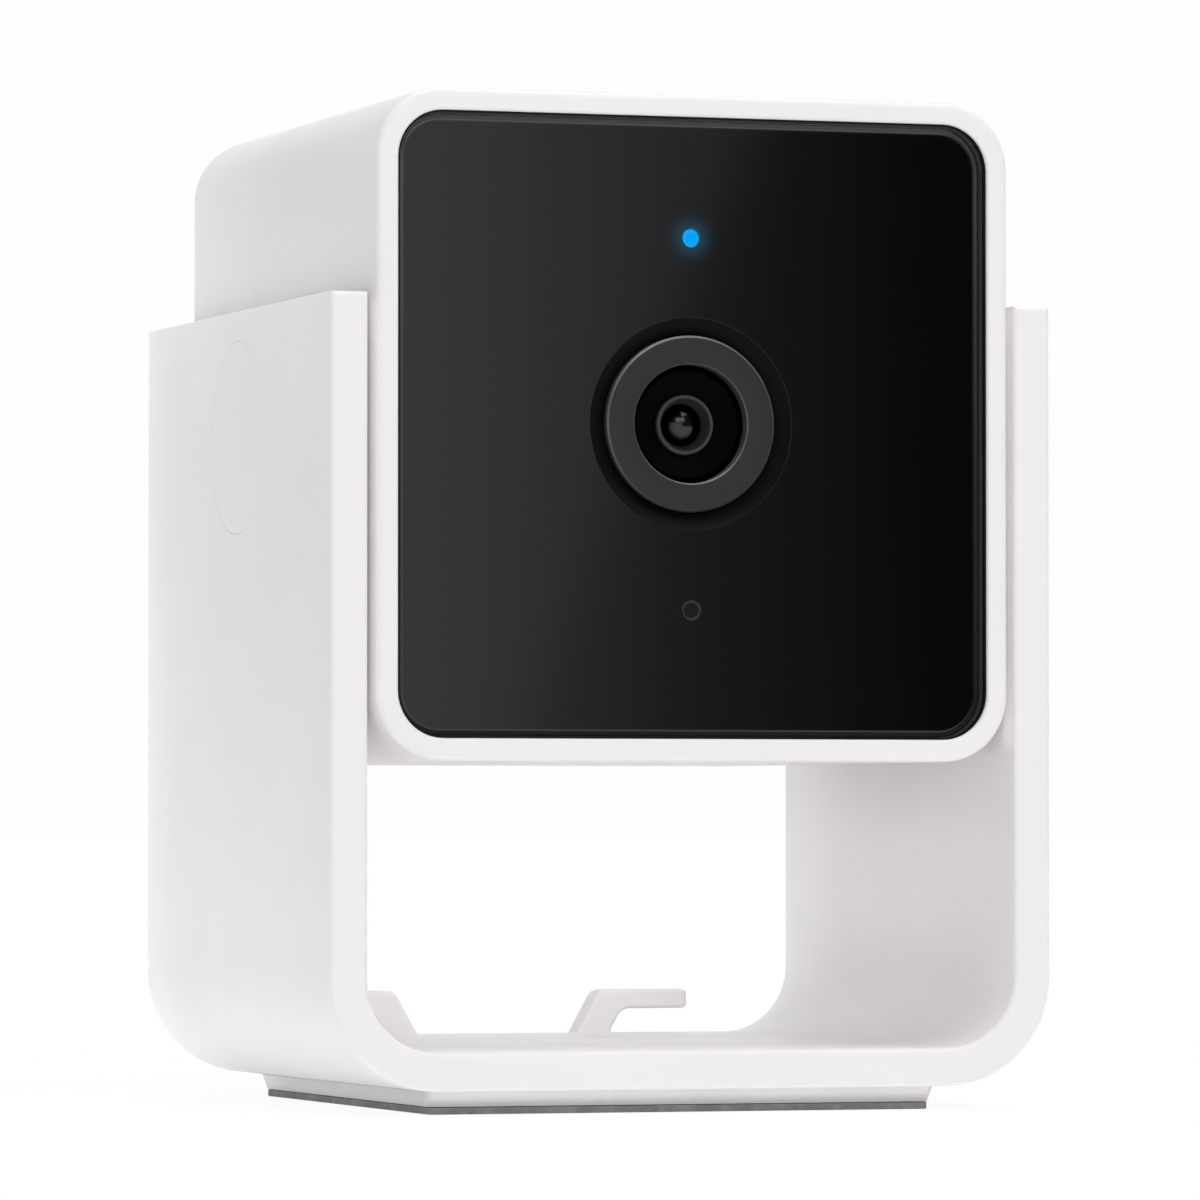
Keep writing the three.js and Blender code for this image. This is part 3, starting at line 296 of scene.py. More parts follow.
class Solid:
    """A body under construction, in millimetres, made with bmesh operators."""

    def __init__(self) -> None:
        """Starts empty."""
        self.bm = bmesh.new()

    def ring(self, points: Iterable[Vector]) -> Ring:
        """A closed line of edges through the points.

        Args:
            points: the points, in order.

        Returns:
            The line's vertices.
        """
        verts = [self.bm.verts.new(point) for point in points]
        for pair in zip(verts, verts[1:] + verts[:1]):
            self.bm.edges.new(pair)
        return verts

    def edges_of(self, ring: Ring) -> list[bmesh.types.BMEdge]:
        """The edges between a ring's neighbours."""
        following = [*ring[1:], ring[0]]
        return [self.bm.edges.get(pair) for pair in zip(ring, following)]

    def grow(self, ring: Ring, points: Iterable[Vector]) -> Ring:
        """Extrudes a ring to new points and returns the new ring.

        Args:
            ring: the ring to extrude.
            points: where the new ring's vertices go.

        Returns:
            The new ring's vertices.
        """
        made = bmesh.ops.extrude_edge_only(self.bm, edges=self.edges_of(ring))["geom"]
        fresh = {item for item in made if isinstance(item, bmesh.types.BMVert)}
        grown = []
        for vert in ring:
            ends = (edge.other_vert(vert) for edge in vert.link_edges)
            grown.append(next(end for end in ends if end in fresh))
        for vert, point in zip(grown, points):
            vert.co = point
        return grown

    def loft(self, outline: Outline, stations: Sequence[Station], axis: Axis) -> tuple[Ring, Ring]:
        """Skins the outline through its stations and returns the first and the last ring.

        Args:
            outline: the outline.
            stations: its stations, from one end to the other.
            axis: the direction that it runs in.

        Returns:
            The first and the last ring.
        """
        placed = [
            [axis.place(*point, depth) for point in outline.points(inset)] for depth, inset in stations
        ]
        first = self.ring(placed[0])
        last = first
        for points in placed[1:]:
            last = self.grow(last, points)
        return first, last

    def cap(self, *rings: Ring) -> None:
        """Fills the flat region between an outer ring and any rings inside it."""
        edges = [edge for ring in rings for edge in self.edges_of(ring)]
        bmesh.ops.triangle_fill(self.bm, edges=edges, use_beauty=True, use_dissolve=False)

    def plate(
        self, outline: Outline, stations: Sequence[Station], axis: Axis, holes: Sequence[Hole] = ()
    ) -> "Solid":
        """A lofted body with flat ends and holes that start in its first end.

        Args:
            outline: the body's outline.
            stations: its stations, from one end to the other.
            axis: the direction it runs in.
            holes: its holes, each through or blind.

        Returns:
            The solid itself.
        """
        first, last = self.loft(outline, stations, axis)
        starts, ends = [first], [last]
        for hole in holes:
            start, end = self.loft(hole.outline, hole.stations, axis)
            starts.append(start)
            if hole.blind:
                self.cap(end)
            else:
                ends.append(end)
        self.cap(*starts)
        self.cap(*ends)
        return self

    def pierce(self, holes: Sequence[Hole], axis: Axis) -> "Solid":
        """Makes holes between flat faces that are already there, each face holding one hole.

        Args:
            holes: the holes, each through or blind.
            axis: the direction that they run in.

        Returns:
            The solid itself.
        """
        self.bm.normal_update()
        for hole in holes:
            start, end = self.loft(hole.outline, hole.stations, axis)
            self._open_face(start, axis)
            if hole.blind:
                self.cap(end)
            else:
                self._open_face(end, axis)
        return self

    def _open_face(self, ring: Ring, axis: Axis) -> None:
        """Takes out the flat face round a ring and fills what is left between the two.

        Args:
            ring: the hole's ring in the face.
            axis: the direction that the hole runs in.
        """
        middle = sum((vert.co for vert in ring), Vector()) / len(ring)
        for face in self.bm.faces:
            level = abs((face.calc_center_median() - middle).dot(axis.direction)) < MERGE
            flat = abs(abs(face.normal.dot(axis.direction)) - 1) < MERGE
            if level and flat and bmesh.geometry.intersect_face_point(face, middle):
                rim = [loop.vert for loop in face.loops]
                bmesh.ops.delete(self.bm, geom=[face], context="FACES_ONLY")
                self.cap(rim, ring)
                return
        raise ValueError("no flat face lies round this hole")

    def turn(
        self, profile: Outline, axis: Axis, u: float = 0.0, v: float = 0.0, steps: int = 64
    ) -> "Solid":
        """Spins a closed profile of (radius, depth) points about an axis through (u, v).

        Args:
            profile: the profile, in radius and depth.
            axis: the direction of the axis.
            u: the axis's first coordinate in the plane across it.
            v: the second one.
            steps: how many segments the turn is made of.

        Returns:
            The solid itself.
        """
        verts = [self.bm.verts.new(axis.place(u + radius, v, depth)) for radius, depth in profile.points()]
        edges = []
        centre = axis.place(u, v, 0)
        for a, b in zip(verts, verts[1:] + verts[:1]):
            on_axis = all((vert.co - centre).cross(axis.direction).length < MERGE for vert in (a, b))
            if not on_axis:
                edges.append(self.bm.edges.new((a, b)))
        line = {"geom": verts + edges, "cent": centre, "axis": axis.direction}
        bmesh.ops.spin(self.bm, **line, angle=FULL, steps=steps, use_merge=True)
        bmesh.ops.remove_doubles(self.bm, verts=self.bm.verts, dist=MERGE)
        return self

    def sheet(self, width: float, height: float) -> "Solid":
        """Adds a flat rectangle about the origin, which faces +Z.

        Args:
            width: its size along X.
            height: its size along Y.

        Returns:
            The solid itself.
        """
        made = bmesh.ops.create_grid(self.bm, x_segments=1, y_segments=1, size=0.5)["verts"]
        bmesh.ops.scale(self.bm, vec=(width, height, 1), verts=made)
        return self

    def place(self, matrix: Matrix) -> "Solid":
        """Moves and turns everything made so far."""
        bmesh.ops.transform(self.bm, matrix=matrix, verts=self.bm.verts)
        return self

    def mirrored(self, side: int) -> "Solid":
        """What was made for the right side, moved to the left side where side is -1."""
        return self.place(Matrix.Scale(-1, 4, (1, 0, 0))) if side < 0 else self

    def mesh(self, name: str) -> bpy.types.Mesh:
        """The finished mesh in metres, closed, with its faces pointing out and its soft edges smooth.

        Args:
            name: the mesh's name.

        Returns:
            The mesh.
        """
        bmesh.ops.remove_doubles(self.bm, verts=self.bm.verts, dist=MERGE)
        bmesh.ops.dissolve_degenerate(self.bm, edges=self.bm.edges, dist=MERGE / 10)
        bmesh.ops.recalc_face_normals(self.bm, faces=self.bm.faces)
        bmesh.ops.scale(self.bm, vec=(MM, MM, MM), verts=self.bm.verts)
        made = bpy.data.meshes.new(name)
        self.bm.to_mesh(made)
        self.bm.free()
        smooth(made)
        return made


def smooth(mesh: bpy.types.Mesh) -> None:
    """Shades a mesh smooth, with crisp edges where it bends sharply."""
    mesh.polygons.foreach_set("use_smooth", [True] * len(mesh.polygons))
    mesh.set_sharp_from_angle(angle=SHARP_ANGLE)


def linked(name: str, data: bpy.types.ID) -> Object:
    """A new object of the scene.

    Args:
        name: the object's name.
        data: its mesh, light or camera.

    Returns:
        The object.
    """
    made = bpy.data.objects.new(name, data)
    bpy.context.scene.collection.objects.link(made)
    return made


def combine(target: bpy.types.Mesh, tools: Iterable[Solid], operation: Operation) -> bpy.types.Mesh:
    """Joins or cuts a mesh with solids.

    Args:
        target: the mesh to work on, in metres.
        tools: the solids that are joined to it or cut out of it.
        operation: which of the two.

    Returns:
        The mesh that results, under the target's name.
    """
    name = target.name
    worked = linked("worked", target)
    helpers = []
    for tool in tools:
        helper = linked("tool", tool.mesh("tool"))
        modifier = worked.modifiers.new("combine", "BOOLEAN")
        modifier.operation = operation.value
        modifier.solver = "EXACT"
        modifier.object = helper
        helpers.append(helper)
    evaluated = worked.evaluated_get(bpy.context.evaluated_depsgraph_get())
    made = bpy.data.meshes.new_from_object(evaluated)
    for old in (worked, *helpers):
        bpy.data.objects.remove(old)
    target.name = "before"
    made.name = name
    smooth(made)
    return made


# Shader nodes


def operator(kind: str, swapped: bool = False) -> Callable[["Signal", "Signal | float"], "Signal"]:
    """A Python operator that adds a Math node.

    Args:
        kind: the Math node's operation.
        swapped: whether the signal is the operator's right-hand side.

    Returns:
        The operator, as a method of Signal.
    """

    def apply(signal: "Signal", other: "Signal | float") -> "Signal":
        """The result for one pair of values."""
        return signal.math(kind, *((other, signal) if swapped else (signal, other)))

    return apply


class Signal:
    """A number that varies over a surface: a shader socket with Python's operators."""

    __add__, __radd__ = operator("ADD"), operator("ADD", True)
    __sub__, __rsub__ = operator("SUBTRACT"), operator("SUBTRACT", True)
    __mul__, __rmul__ = operator("MULTIPLY"), operator("MULTIPLY", True)
    __truediv__, __rtruediv__ = operator("DIVIDE"), operator("DIVIDE", True)
    __pow__ = operator("POWER")

    def __init__(self, graph: "Graph", socket: Socket) -> None:
        """Wraps a socket of a graph."""
        self.graph = graph
        self.socket = socket

    def math(self, operation: str, *values: "Signal | float") -> "Signal":
        """Adds a Math node."""
        node = self.graph.node("ShaderNodeMath", {"operation": operation}, dict(enumerate(values)))
        return Signal(self.graph, node.outputs[0])

    def sine(self) -> "Signal":
        """The sine of an angle in radians."""
        return self.math("SINE", self)

    def root(self) -> "Signal":
        """The square root."""
        return self.math("SQRT", self)

    def absolute(self) -> "Signal":
        """Its size without the sign."""
        return self.math("ABSOLUTE", self)

    def floored(self) -> "Signal":
        """Itself, or zero where it is below zero."""
        return self.math("MAXIMUM", self, 0.0)

    def wave(self, pitch: float) -> "Signal":
        """A wave from 0 to 1 that repeats at a pitch in the signal's own measure."""
        return (self * (FULL / pitch)).sine() * 0.5 + 0.5

    def vary(self, level: "Signal | float", swing: float) -> "Signal":
        """A level that this signal of 0 to 1 moves up and down, by half the swing each way."""
        return level + (self - 0.5) * swing

    def _range(self, kind: str, start: float, end: float) -> "Signal":
        """Adds a Map Range node.

        Args:
            kind: how it goes from one end to the other.
            start: the value that gives 0.
            end: the value that gives 1.

        Returns:
            The result, from 0 to 1.
        """
        node = self.graph.node(
            "ShaderNodeMapRange",
            {"interpolation_type": kind, "clamp": True},
            {"Value": self, "From Min": start, "From Max": end, "To Min": 0.0, "To Max": 1.0},
        )
        return Signal(self.graph, node.outputs["Result"])

    def fade(self, start: float, end: float) -> "Signal":
        """0 at start and 1 at end, smooth in between and level outside."""
        return self._range("SMOOTHSTEP", start, end)

    def ramp(self, start: float, end: float) -> "Signal":
        """0 at start and 1 at end, straight in between and level outside."""
        return self._range("LINEAR", start, end)


class Graph:
    """A material's node tree."""

    def __init__(self, tree: bpy.types.NodeTree, material: Material | None = None) -> None:
        """Empties a node tree, to fill it anew.

        Args:
            tree: the tree.
            material: the material that it belongs to, if any.
        """
        self.tree = tree
        self.material = material
        self.tree.nodes.clear()

    @classmethod
    def of_material(cls, name: str) -> "Graph":
        """The graph of a new material.

        Args:
            name: the material's name.

        Returns:
            The graph.
        """
        material = bpy.data.materials.new(name)
        material.use_nodes = True
        return cls(material.node_tree, material)

    def node(self, kind: str, settings: dict | None = None, inputs: dict | None = None) -> bpy.types.Node:
        """Adds a node.

        Args:
            kind: the node's type.
            settings: its settings, such as a Math node's operation or a ramp's stops, set first.
            inputs: the values or links of its sockets, by name or number.

        Returns:
            The node.
        """
        made = self.tree.nodes.new(kind)
        for key, value in (settings or {}).items():
            if key == "stops":
                self._set_stops(made.color_ramp, value)
            else:
                setattr(made, key, value)
        for key, value in (inputs or {}).items():
            self._feed(made.inputs[key], value)
        return made

    @staticmethod
    def _set_stops(ramp: bpy.types.ColorRamp, stops: Sequence[tuple[float, Colour]]) -> None:
        """Gives a ramp its stops, each a position and a colour.

        Args:
            ramp: the ramp.
            stops: its stops.
        """
        while len(ramp.elements) < len(stops):
            ramp.elements.new(0.5)
        for element, (position, colour) in zip(ramp.elements, stops):
            element.position = position
            element.color = (*colour, 1.0)

    def _feed(self, socket: Socket, value: object) -> None:
        """Links a socket, or sets its value.

        Args:
            socket: the socket.
            value: a signal or an output to link, or a value to set.
        """
        source = value.socket if isinstance(value, Signal) else value
        if isinstance(source, Socket):
            self.tree.links.new(source, socket)
        elif isinstance(source, tuple) and len(source) == 3 and socket.type == "RGBA":
            socket.default_value = (*source, 1.0)
        else:
            socket.default_value = source

    def place(self) -> Socket:
        """Object coordinates, in metres."""
        return self.node("ShaderNodeTexCoord").outputs["Object"]

    def reach(self, centre: Point) -> Signal:
        """How far the point lies from a line along Y through (x, z), in millimetres.

        Args:
            centre: where the line crosses the XZ plane.

        Returns:
            The distance.
        """
        x, _, z = self.axes()
        across, rise = x - centre[0], z - centre[1]
        return (across * across + rise * rise).root()

    def corner_reach(self, centre: Point, straight: float) -> Signal:
        """Distance outside a square of the given half width about an axis along Y, in millimetres.

        Args:
            centre: the square's middle in the XZ plane.
            straight: its half width.

        Returns:
            The distance, which is 0 inside.
        """
        x, _, z = self.axes()
        across = ((x - centre[0]).absolute() - straight).floored()
        up = ((z - centre[1]).absolute() - straight).floored()
        return (across**2 + up**2).root()

    def axes(self) -> tuple[Signal, Signal, Signal]:
        """X, Y and Z of the point on the surface, in millimetres."""
        split = self.node("ShaderNodeSeparateXYZ", inputs={0: self.place()})
        return tuple(Signal(self, output) * (1 / MM) for output in split.outputs)

    def stretched(self, scale: Triple) -> Socket:
        """Object coordinates, stretched along the axes."""
        mapping = self.node("ShaderNodeMapping", inputs={"Vector": self.place(), "Scale": scale})
        return mapping.outputs["Vector"]

    def noise(
        self, size: float, detail: float = 3.0, roughness: float = 0.55, stretch: Triple = (1, 1, 1)
    ) -> Signal:
        """Noise from 0 to 1 whose blotches are about size millimetres across.

        Args:
            size: the size of its blotches.
            detail: how many finer layers it has.
            roughness: how strong each finer layer is.
            stretch: how the coordinates are stretched.

        Returns:
            The noise.
        """
        inputs = {
            "Vector": self.stretched(stretch),
            "Scale": 1 / (size * MM),
            "Detail": detail,
            "Roughness": roughness,
        }
        return Signal(self, self.node("ShaderNodeTexNoise", inputs=inputs).outputs["Fac"])

    def cells(self, size: float, distance: str = "EUCLIDEAN", jitter: float = 1.0) -> Signal:
        """Distances in a pattern of cells about size millimetres across.

        Args:
            size: the size of the cells.
            distance: how the distance is measured.
            jitter: how irregular the cells are.

        Returns:
            The distance from the middle of the cell.
        """
        inputs = {"Vector": self.place(), "Scale": 1 / (size * MM), "Randomness": jitter}
        node = self.node("ShaderNodeTexVoronoi", {"feature": "F1", "distance": distance}, inputs)
        return Signal(self, node.outputs["Distance"])

    def greys(self, position: Signal, stops: Sequence[Point]) -> Socket:
        """Greys along a ramp, from stops of a position and a value."""
        colours = [(place, (value,) * 3) for place, value in stops]
        return self.node("ShaderNodeValToRGB", {"stops": colours}, {0: position}).outputs[0]

    def mix(self, share: Signal | float, first: Tone, second: Tone) -> Socket:
        """A blend of two colours."""
        node = self.node("ShaderNodeMix", {"data_type": "RGBA"}, {0: share, 6: first, 7: second})
        return node.outputs[2]

    def bump(self, height: Signal, depth: float, strength: float = 1.0) -> Socket:
        """A normal from a height of 0 to 1 that stands for depth millimetres."""
        inputs = {"Height": height, "Distance": depth * MM, "Strength": strength}
        return self.node("ShaderNodeBump", inputs=inputs).outputs["Normal"]

    def shader(self, kind: str, inputs: Inputs) -> Socket:
        """Adds a shader and returns what it gives."""
        return self.node(kind, inputs=inputs).outputs[0]

    def blend(self, share: Signal, first: Socket, second: Socket) -> Socket:
        """A blend of two shaders."""
        return self.node("ShaderNodeMixShader", inputs={0: share, 1: first, 2: second}).outputs[0]

    def end(self, shader: Socket, kind: str = "Material") -> Material | None:
        """Ends a material's or a world's tree with a shader."""
        self.node(f"ShaderNodeOutput{kind}", inputs={"Surface": shader})
        return self.material


# Finishes


def dim(colour: Colour, share: float) -> Colour:
    """A colour with its channels multiplied by a share, which stay below white."""
    return tuple(min(1.0, channel * share) for channel in colour)


@dataclass(frozen=True)
class Finish:
    """A surface finish: its name and the record's slot that it belongs to."""

    name: str
    slot: str

    @functools.cache
    def material(self) -> Material:
        """The finish as a material, made once."""
        graph = Graph.of_material(self.name)
        return graph.end(graph.shader("ShaderNodeBsdfPrincipled", self.inputs(graph)))

    def inputs(self, graph: Graph) -> Inputs:
        """The values and signals that the surface's shader takes."""
        raise NotImplementedError


@dataclass(frozen=True)
class MouldedPlastic(Finish):
    """Moulded plastic with a fine spark-eroded grain and faint cloudiness."""

    colour: Colour
    roughness: float = 0.45
    grain: float = 0.22
    depth: float = 0.006
    cloud: float = 0.02
    shine: float = 0.5

    def inputs(self, graph: Graph) -> Inputs:
        """The shader's inputs.

        Args:
            graph: the graph that the nodes are added to.

        Returns:
            The inputs, by the names of their sockets.
        """
        broad = graph.noise(18, 2)
        fine = graph.noise(self.grain, 2, 0.6)
        return {
            "Base Color": graph.mix(broad.fade(0.35, 0.7), self.colour, dim(self.colour, 1 - self.cloud)),
            "Roughness": broad.vary(fine.vary(self.roughness, 0.08), 0.06),
            "Normal": graph.bump(fine, self.depth),
            "IOR": 1.49,
            "Specular IOR Level": self.shine,
        }


@dataclass(frozen=True)
class TintedPanel(Finish):
    """Polished black plastic that glows faintly round the status light behind it, with a painted highlight
    on its rounded edge that is stronger at its head than at its foot.
    """

    colour: Colour
    glow: Colour
    light_up: float
    glow_radius: float = 2.8
    roughness: float = 0.045
    straight: float = 20.85  # half width of the square whose rounding makes the outline
    highlight_span: Point = (2.8, 3.5)  # distances from it between which the painted edge highlight fades in
    # colour of the painted highlight on the rounded edge
    edge: Colour = (0.36, 0.36, 0.36)
    highlight_foot_share: float = 0.25  # share of the painted edge highlight at the panel's foot; its head has all of it, as if lit from above
    middle: Point = (0.0, TILT_UP)

    def inputs(self, graph: Graph) -> Inputs:
        """The shader's inputs.

        Args:
            graph: the graph that the nodes are added to.

        Returns:
            The inputs, by the names of their sockets.
        """
        falloff = 1 - graph.reach((0.0, self.light_up)).fade(0.2, self.glow_radius)
        wave = graph.noise(9, 1)
        # A painted highlight on the rounded edge, stronger towards the head, as if lit from above.
        rim = graph.corner_reach(self.middle, self.straight).ramp(*self.highlight_span)
        half = self.straight + self.highlight_span[1]
        rise = (graph.axes()[2] - self.middle[1]).ramp(-half, half)
        tone = rim**2 * (rise**2 * (1 - self.highlight_foot_share) + self.highlight_foot_share)
        return {
            "Base Color": graph.mix(tone, self.colour, self.edge),
            "Roughness": wave.vary(self.roughness, 0.01),
            "IOR": 1.5,
            "Emission Color": graph.mix(falloff**2, BLACKNESS, self.glow),
            "Emission Strength": 1.0,
            "Normal": graph.bump(graph.noise(14, 1), 0.0012),
        }


@dataclass(frozen=True)
class TurnedMetal(Finish):
    """Metal with fine turning marks round an axis along Y, and painted highlights on its cut edges: the
    outer one at the top, the hole's one at the bottom.
    """

    colour: Colour
    metallic: float = 1.0
    roughness: float = 0.38
    pitch: float = 0.16
    depth: float = 0.004
    centre: Point = (0.0, 0.0)
    # colour of the painted highlights on the cut edges
    edge_highlight: Colour = (0.1, 0.1, 0.1)
    plain: Point = (0.0, 100.0)  # radii between which the face is plain; the painted highlights lie on the cut edges there
    edge_soft: float = 0.02

    def inputs(self, graph: Graph) -> Inputs:
        """The shader's inputs.

        Args:
            graph: the graph that the nodes are added to.

        Returns:
            The inputs, by the names of their sockets.
        """
        distance = graph.reach(self.centre)
        marks = distance.wave(self.pitch)
        grain = graph.noise(0.12, 2)
        inner, outer = self.plain
        height = (graph.axes()[2] - self.centre[1]) * (0.5 / outer)
        soft = self.edge_soft
        # Painted highlights, as if lit from above: the hole's edge at the bottom and the outer edge at the
        # top.
        inner_highlight = (1 - distance.ramp(inner - soft, inner + soft)) * (0.5 - height)
        edge = inner_highlight + distance.ramp(outer - soft, outer + soft) * (0.5 + height)
        face = marks * 0.5 + grain * 0.5
        tone = graph.mix(face, dim(self.colour, 0.9), self.colour)
        return {
            "Base Color": graph.mix(edge, tone, self.edge_highlight),
            "Metallic": self.metallic,
            "Roughness": grain.vary(self.roughness, 0.12),
            "Normal": graph.bump(face, self.depth),
        }


@dataclass(frozen=True)
class SheetMetal(Finish):
    """Rolled or plated metal with long fine scratches and soft cloudiness, and, where asked, painted shade
    at its foot and its sides.
    """

    colour: Colour
    roughness: float = 0.36
    stretch: Triple = (0.06, 1.0, 1.0)
    depth: float = 0.004
    cloud: float = 0.18
    foot: Point = (0.0, 0.0)  # heights between which the painted shade at the foot fades out
    foot_painted_shade: float = 1.0
    side: Point = (0.0, 0.0)  # distances from the middle between which the painted shade on the sides fades in
    side_painted_shade: float = 1.0

    def inputs(self, graph: Graph) -> Inputs:
        """The shader's inputs.

        Args:
            graph: the graph that the nodes are added to.

        Returns:
            The inputs, by the names of their sockets.
        """
        lines = graph.noise(0.18, 4, 0.7, self.stretch)
        cloud = graph.noise(6, 3)
        tone = graph.mix(cloud.fade(0.3, 0.75), self.colour, dim(self.colour, 1 - self.cloud))
        # Painted shade: darker towards the foot and towards the sides.
        if self.foot_painted_shade < 1:
            tone = graph.mix(graph.axes()[2].fade(*self.foot), dim(self.colour, self.foot_painted_shade), tone)
        if self.side_painted_shade < 1:
            near, far = self.side
            across = (graph.axes()[0] ** 2).fade(near**2, far**2)
            tone = graph.mix(across, tone, dim(self.colour, self.side_painted_shade))
        return {
            "Base Color": tone,
            "Metallic": 1.0,
            "Roughness": cloud.vary(lines.vary(self.roughness, 0.2), 0.1),
            "Normal": graph.bump(lines, self.depth),
        }


@dataclass(frozen=True)
class SoftRubber(Finish):
    """Matt rubber or dense foam with an open grain."""

    colour: Colour
    grain: float = 0.3
    depth: float = 0.03
    roughness: float = 0.85

    def inputs(self, graph: Graph) -> Inputs:
        """The shader's inputs.

        Args:
            graph: the graph that the nodes are added to.

        Returns:
            The inputs, by the names of their sockets.
        """
        pores = graph.cells(self.grain)
        mottle = graph.noise(1.2, 3)
        return {
            "Base Color": graph.mix(mottle.fade(0.35, 0.7), self.colour, dim(self.colour, 1.35)),
            "Roughness": mottle.vary(self.roughness, 0.15),
            "Normal": graph.bump(pores, self.depth),
            "IOR": 1.45,
        }


@dataclass(frozen=True)
class CoatedGlass(Finish):
    """Glass with a thin coating that tints what it reflects."""

    colour: Colour
    tint: Colour
    transmission: float
    ior: float = 1.6
    roughness: float = 0.01

    def inputs(self, graph: Graph) -> Inputs:
        """The shader's inputs.

        Args:
            graph: the graph that the nodes are added to.

        Returns:
            The inputs, by the names of their sockets.
        """
        smear = graph.noise(0.8, 2)
        return {
            "Base Color": graph.mix(smear.fade(0.3, 0.8), self.colour, dim(self.colour, 0.9)),
            "Roughness": self.roughness + smear * 0.01,
            "IOR": self.ior,
            "Transmission Weight": self.transmission,
            "Specular Tint": self.tint,
        }


@dataclass(frozen=True)
class LensFace(Finish):
    """Dark lens glass that reflects only inside its clear radius, with its edge painted black."""

    colour: Colour
    centre: Point
    clear: float
    reflectance: float = 1.5

    def inputs(self, graph: Graph) -> Inputs:
        """The shader's inputs.

        Args:
            graph: the graph that the nodes are added to.

        Returns:
            The inputs, by the names of their sockets.
        """
        distance = graph.reach(self.centre)
        return {
            "Base Color": graph.mix(distance.fade(self.clear * 0.3, self.clear), self.colour, BLACKNESS),
            "Roughness": 0.3,
            "Specular IOR Level": 0.0,
            "Coat Weight": 1 - distance.fade(self.clear * 0.6, self.clear),
            "Coat IOR": self.reflectance,
            "Coat Roughness": 0.1,
        }


@dataclass(frozen=True)
class BarrelPlastic(Finish):
    """Black plastic round a lens, with a greyer lip and a cone inside the lip."""

    colour: Colour
    lip: Colour
    cone: Colour
    lip_span: Point
    centre: Point
    shine: float = 0.02

    def inputs(self, graph: Graph) -> Inputs:
        """The shader's inputs.

        Args:
            graph: the graph that the nodes are added to.

        Returns:
            The inputs, by the names of their sockets.
        """
        distance = graph.reach(self.centre)
        grain = graph.noise(0.12, 2)
        inner, outer = self.lip_span
        inside = 1 - distance.fade(inner - CRISP, inner + FINE)
        outside = distance.fade(outer, outer + CRISP)
        shade = graph.mix(inside, self.lip, graph.mix(grain, self.cone, dim(self.cone, 0.7)))
        return {
            "Base Color": graph.mix(outside, shade, self.colour),
            "Roughness": grain.vary(0.45, 0.1),
            "Normal": graph.bump(grain, 0.002),
            "Specular IOR Level": self.shine,
        }


@dataclass(frozen=True)
class LitGuide(Finish):
    """A light guide that is lit from behind, a little paler at its rim."""

    core: Colour
    rim: Colour
    light_up: float
    radius: float
    strength: float = 1.0

    def inputs(self, graph: Graph) -> Inputs:
        """The shader's inputs.

        Args:
            graph: the graph that the nodes are added to.

        Returns:
            The inputs, by the names of their sockets.
        """
        share = graph.reach((0.0, self.light_up)).fade(self.radius * 0.5, self.radius)
        return {
            "Base Color": graph.mix(graph.noise(0.4, 1), (0.0, 0.01, 0.03), (0.0, 0.015, 0.04)),
            "Roughness": 0.25,
            "Specular IOR Level": 0.03,
            "Emission Color": graph.mix(share, self.core, self.rim),
            "Emission Strength": self.strength,
        }


@dataclass(frozen=True)
class CircuitBoard(Finish):
    """Glass fibre under a green mask, with the tracks showing as a slightly paler maze."""

    mask: Colour
    track: Colour
    pitch: float = 1.7
    turns: float = 26.0  # how fast the tracks follow each other within a cell

    def inputs(self, graph: Graph) -> Inputs:
        """The shader's inputs.

        Args:
            graph: the graph that the nodes are added to.

        Returns:
            The inputs, by the names of their sockets.
        """
        distance = graph.cells(self.pitch, "MANHATTAN", 0.8)
        maze = ((distance * self.turns).sine() * 0.5 + 0.5).fade(0.45, 0.6)
        weave = graph.noise(0.35, 1)
        return {
            "Base Color": graph.mix(maze * 0.75, self.mask, self.track),
            "Roughness": 0.32 + weave * 0.1,
            "Normal": graph.bump(maze * 0.7 + weave * 0.3, 0.02),
            "IOR": 1.5,
        }


@dataclass(frozen=True)
class StripedFilm(Finish):
    """A thin film or winding with parallel tracks or turns, one after the other along X."""

    ground: Colour
    stripe: Colour
    pitch: float
    metallic: float = 0.0
    roughness: float = 0.4
    depth: float = 0.02

    def inputs(self, graph: Graph) -> Inputs:
        """The shader's inputs.

        Args:
            graph: the graph that the nodes are added to.

        Returns:
            The inputs, by the names of their sockets.
        """
        wave = graph.axes()[0].wave(self.pitch)
        wear = graph.noise(0.5, 3)
        return {
            "Base Color": graph.mix(wave.fade(0.35, 0.65), self.ground, self.stripe),
            "Metallic": self.metallic,
            "Roughness": wear.vary(self.roughness, 0.15),
            "Normal": graph.bump(wave * 0.85 + wear * 0.15, self.depth),
        }


LENS_AXIS = (0.0, LENS_UP)
MICROPHONE_AXIS = (0.0, MICROPHONE_UP)
LIP_SPAN = (2.13, 2.36)  # radii of the lip round the glass
VENT_SPAN = (0.62, 0.8)  # radii of the ring that lines the microphone's hole
CLEAR_RADIUS = 1.2

WHITE = MouldedPlastic("moulded_white", "white_plastic", (0.875, 0.855, 0.86), 0.42)
BLACK = MouldedPlastic(
    "moulded_black", "black_plastic", (0.006,) * 3, 0.5, grain=0.15, depth=0.004, cloud=0.1
)
DARK_PART = {"slot": "black_plastic", "grain": 0.3, "cloud": 0.05}
TRIM_BLACK = MouldedPlastic(
    "trim_black", colour=(0.002, 0.002, 0.0022), roughness=0.55, depth=0.0005, shine=0.08, **DARK_PART
)
# A black strip in the gap round the panel: painted shadow.
GAP_SHADOW_BLACK = MouldedPlastic(
    "painted_gap_shadow", colour=(0.001,) * 3, roughness=0.3, depth=0.001, shine=0.2, **DARK_PART
)
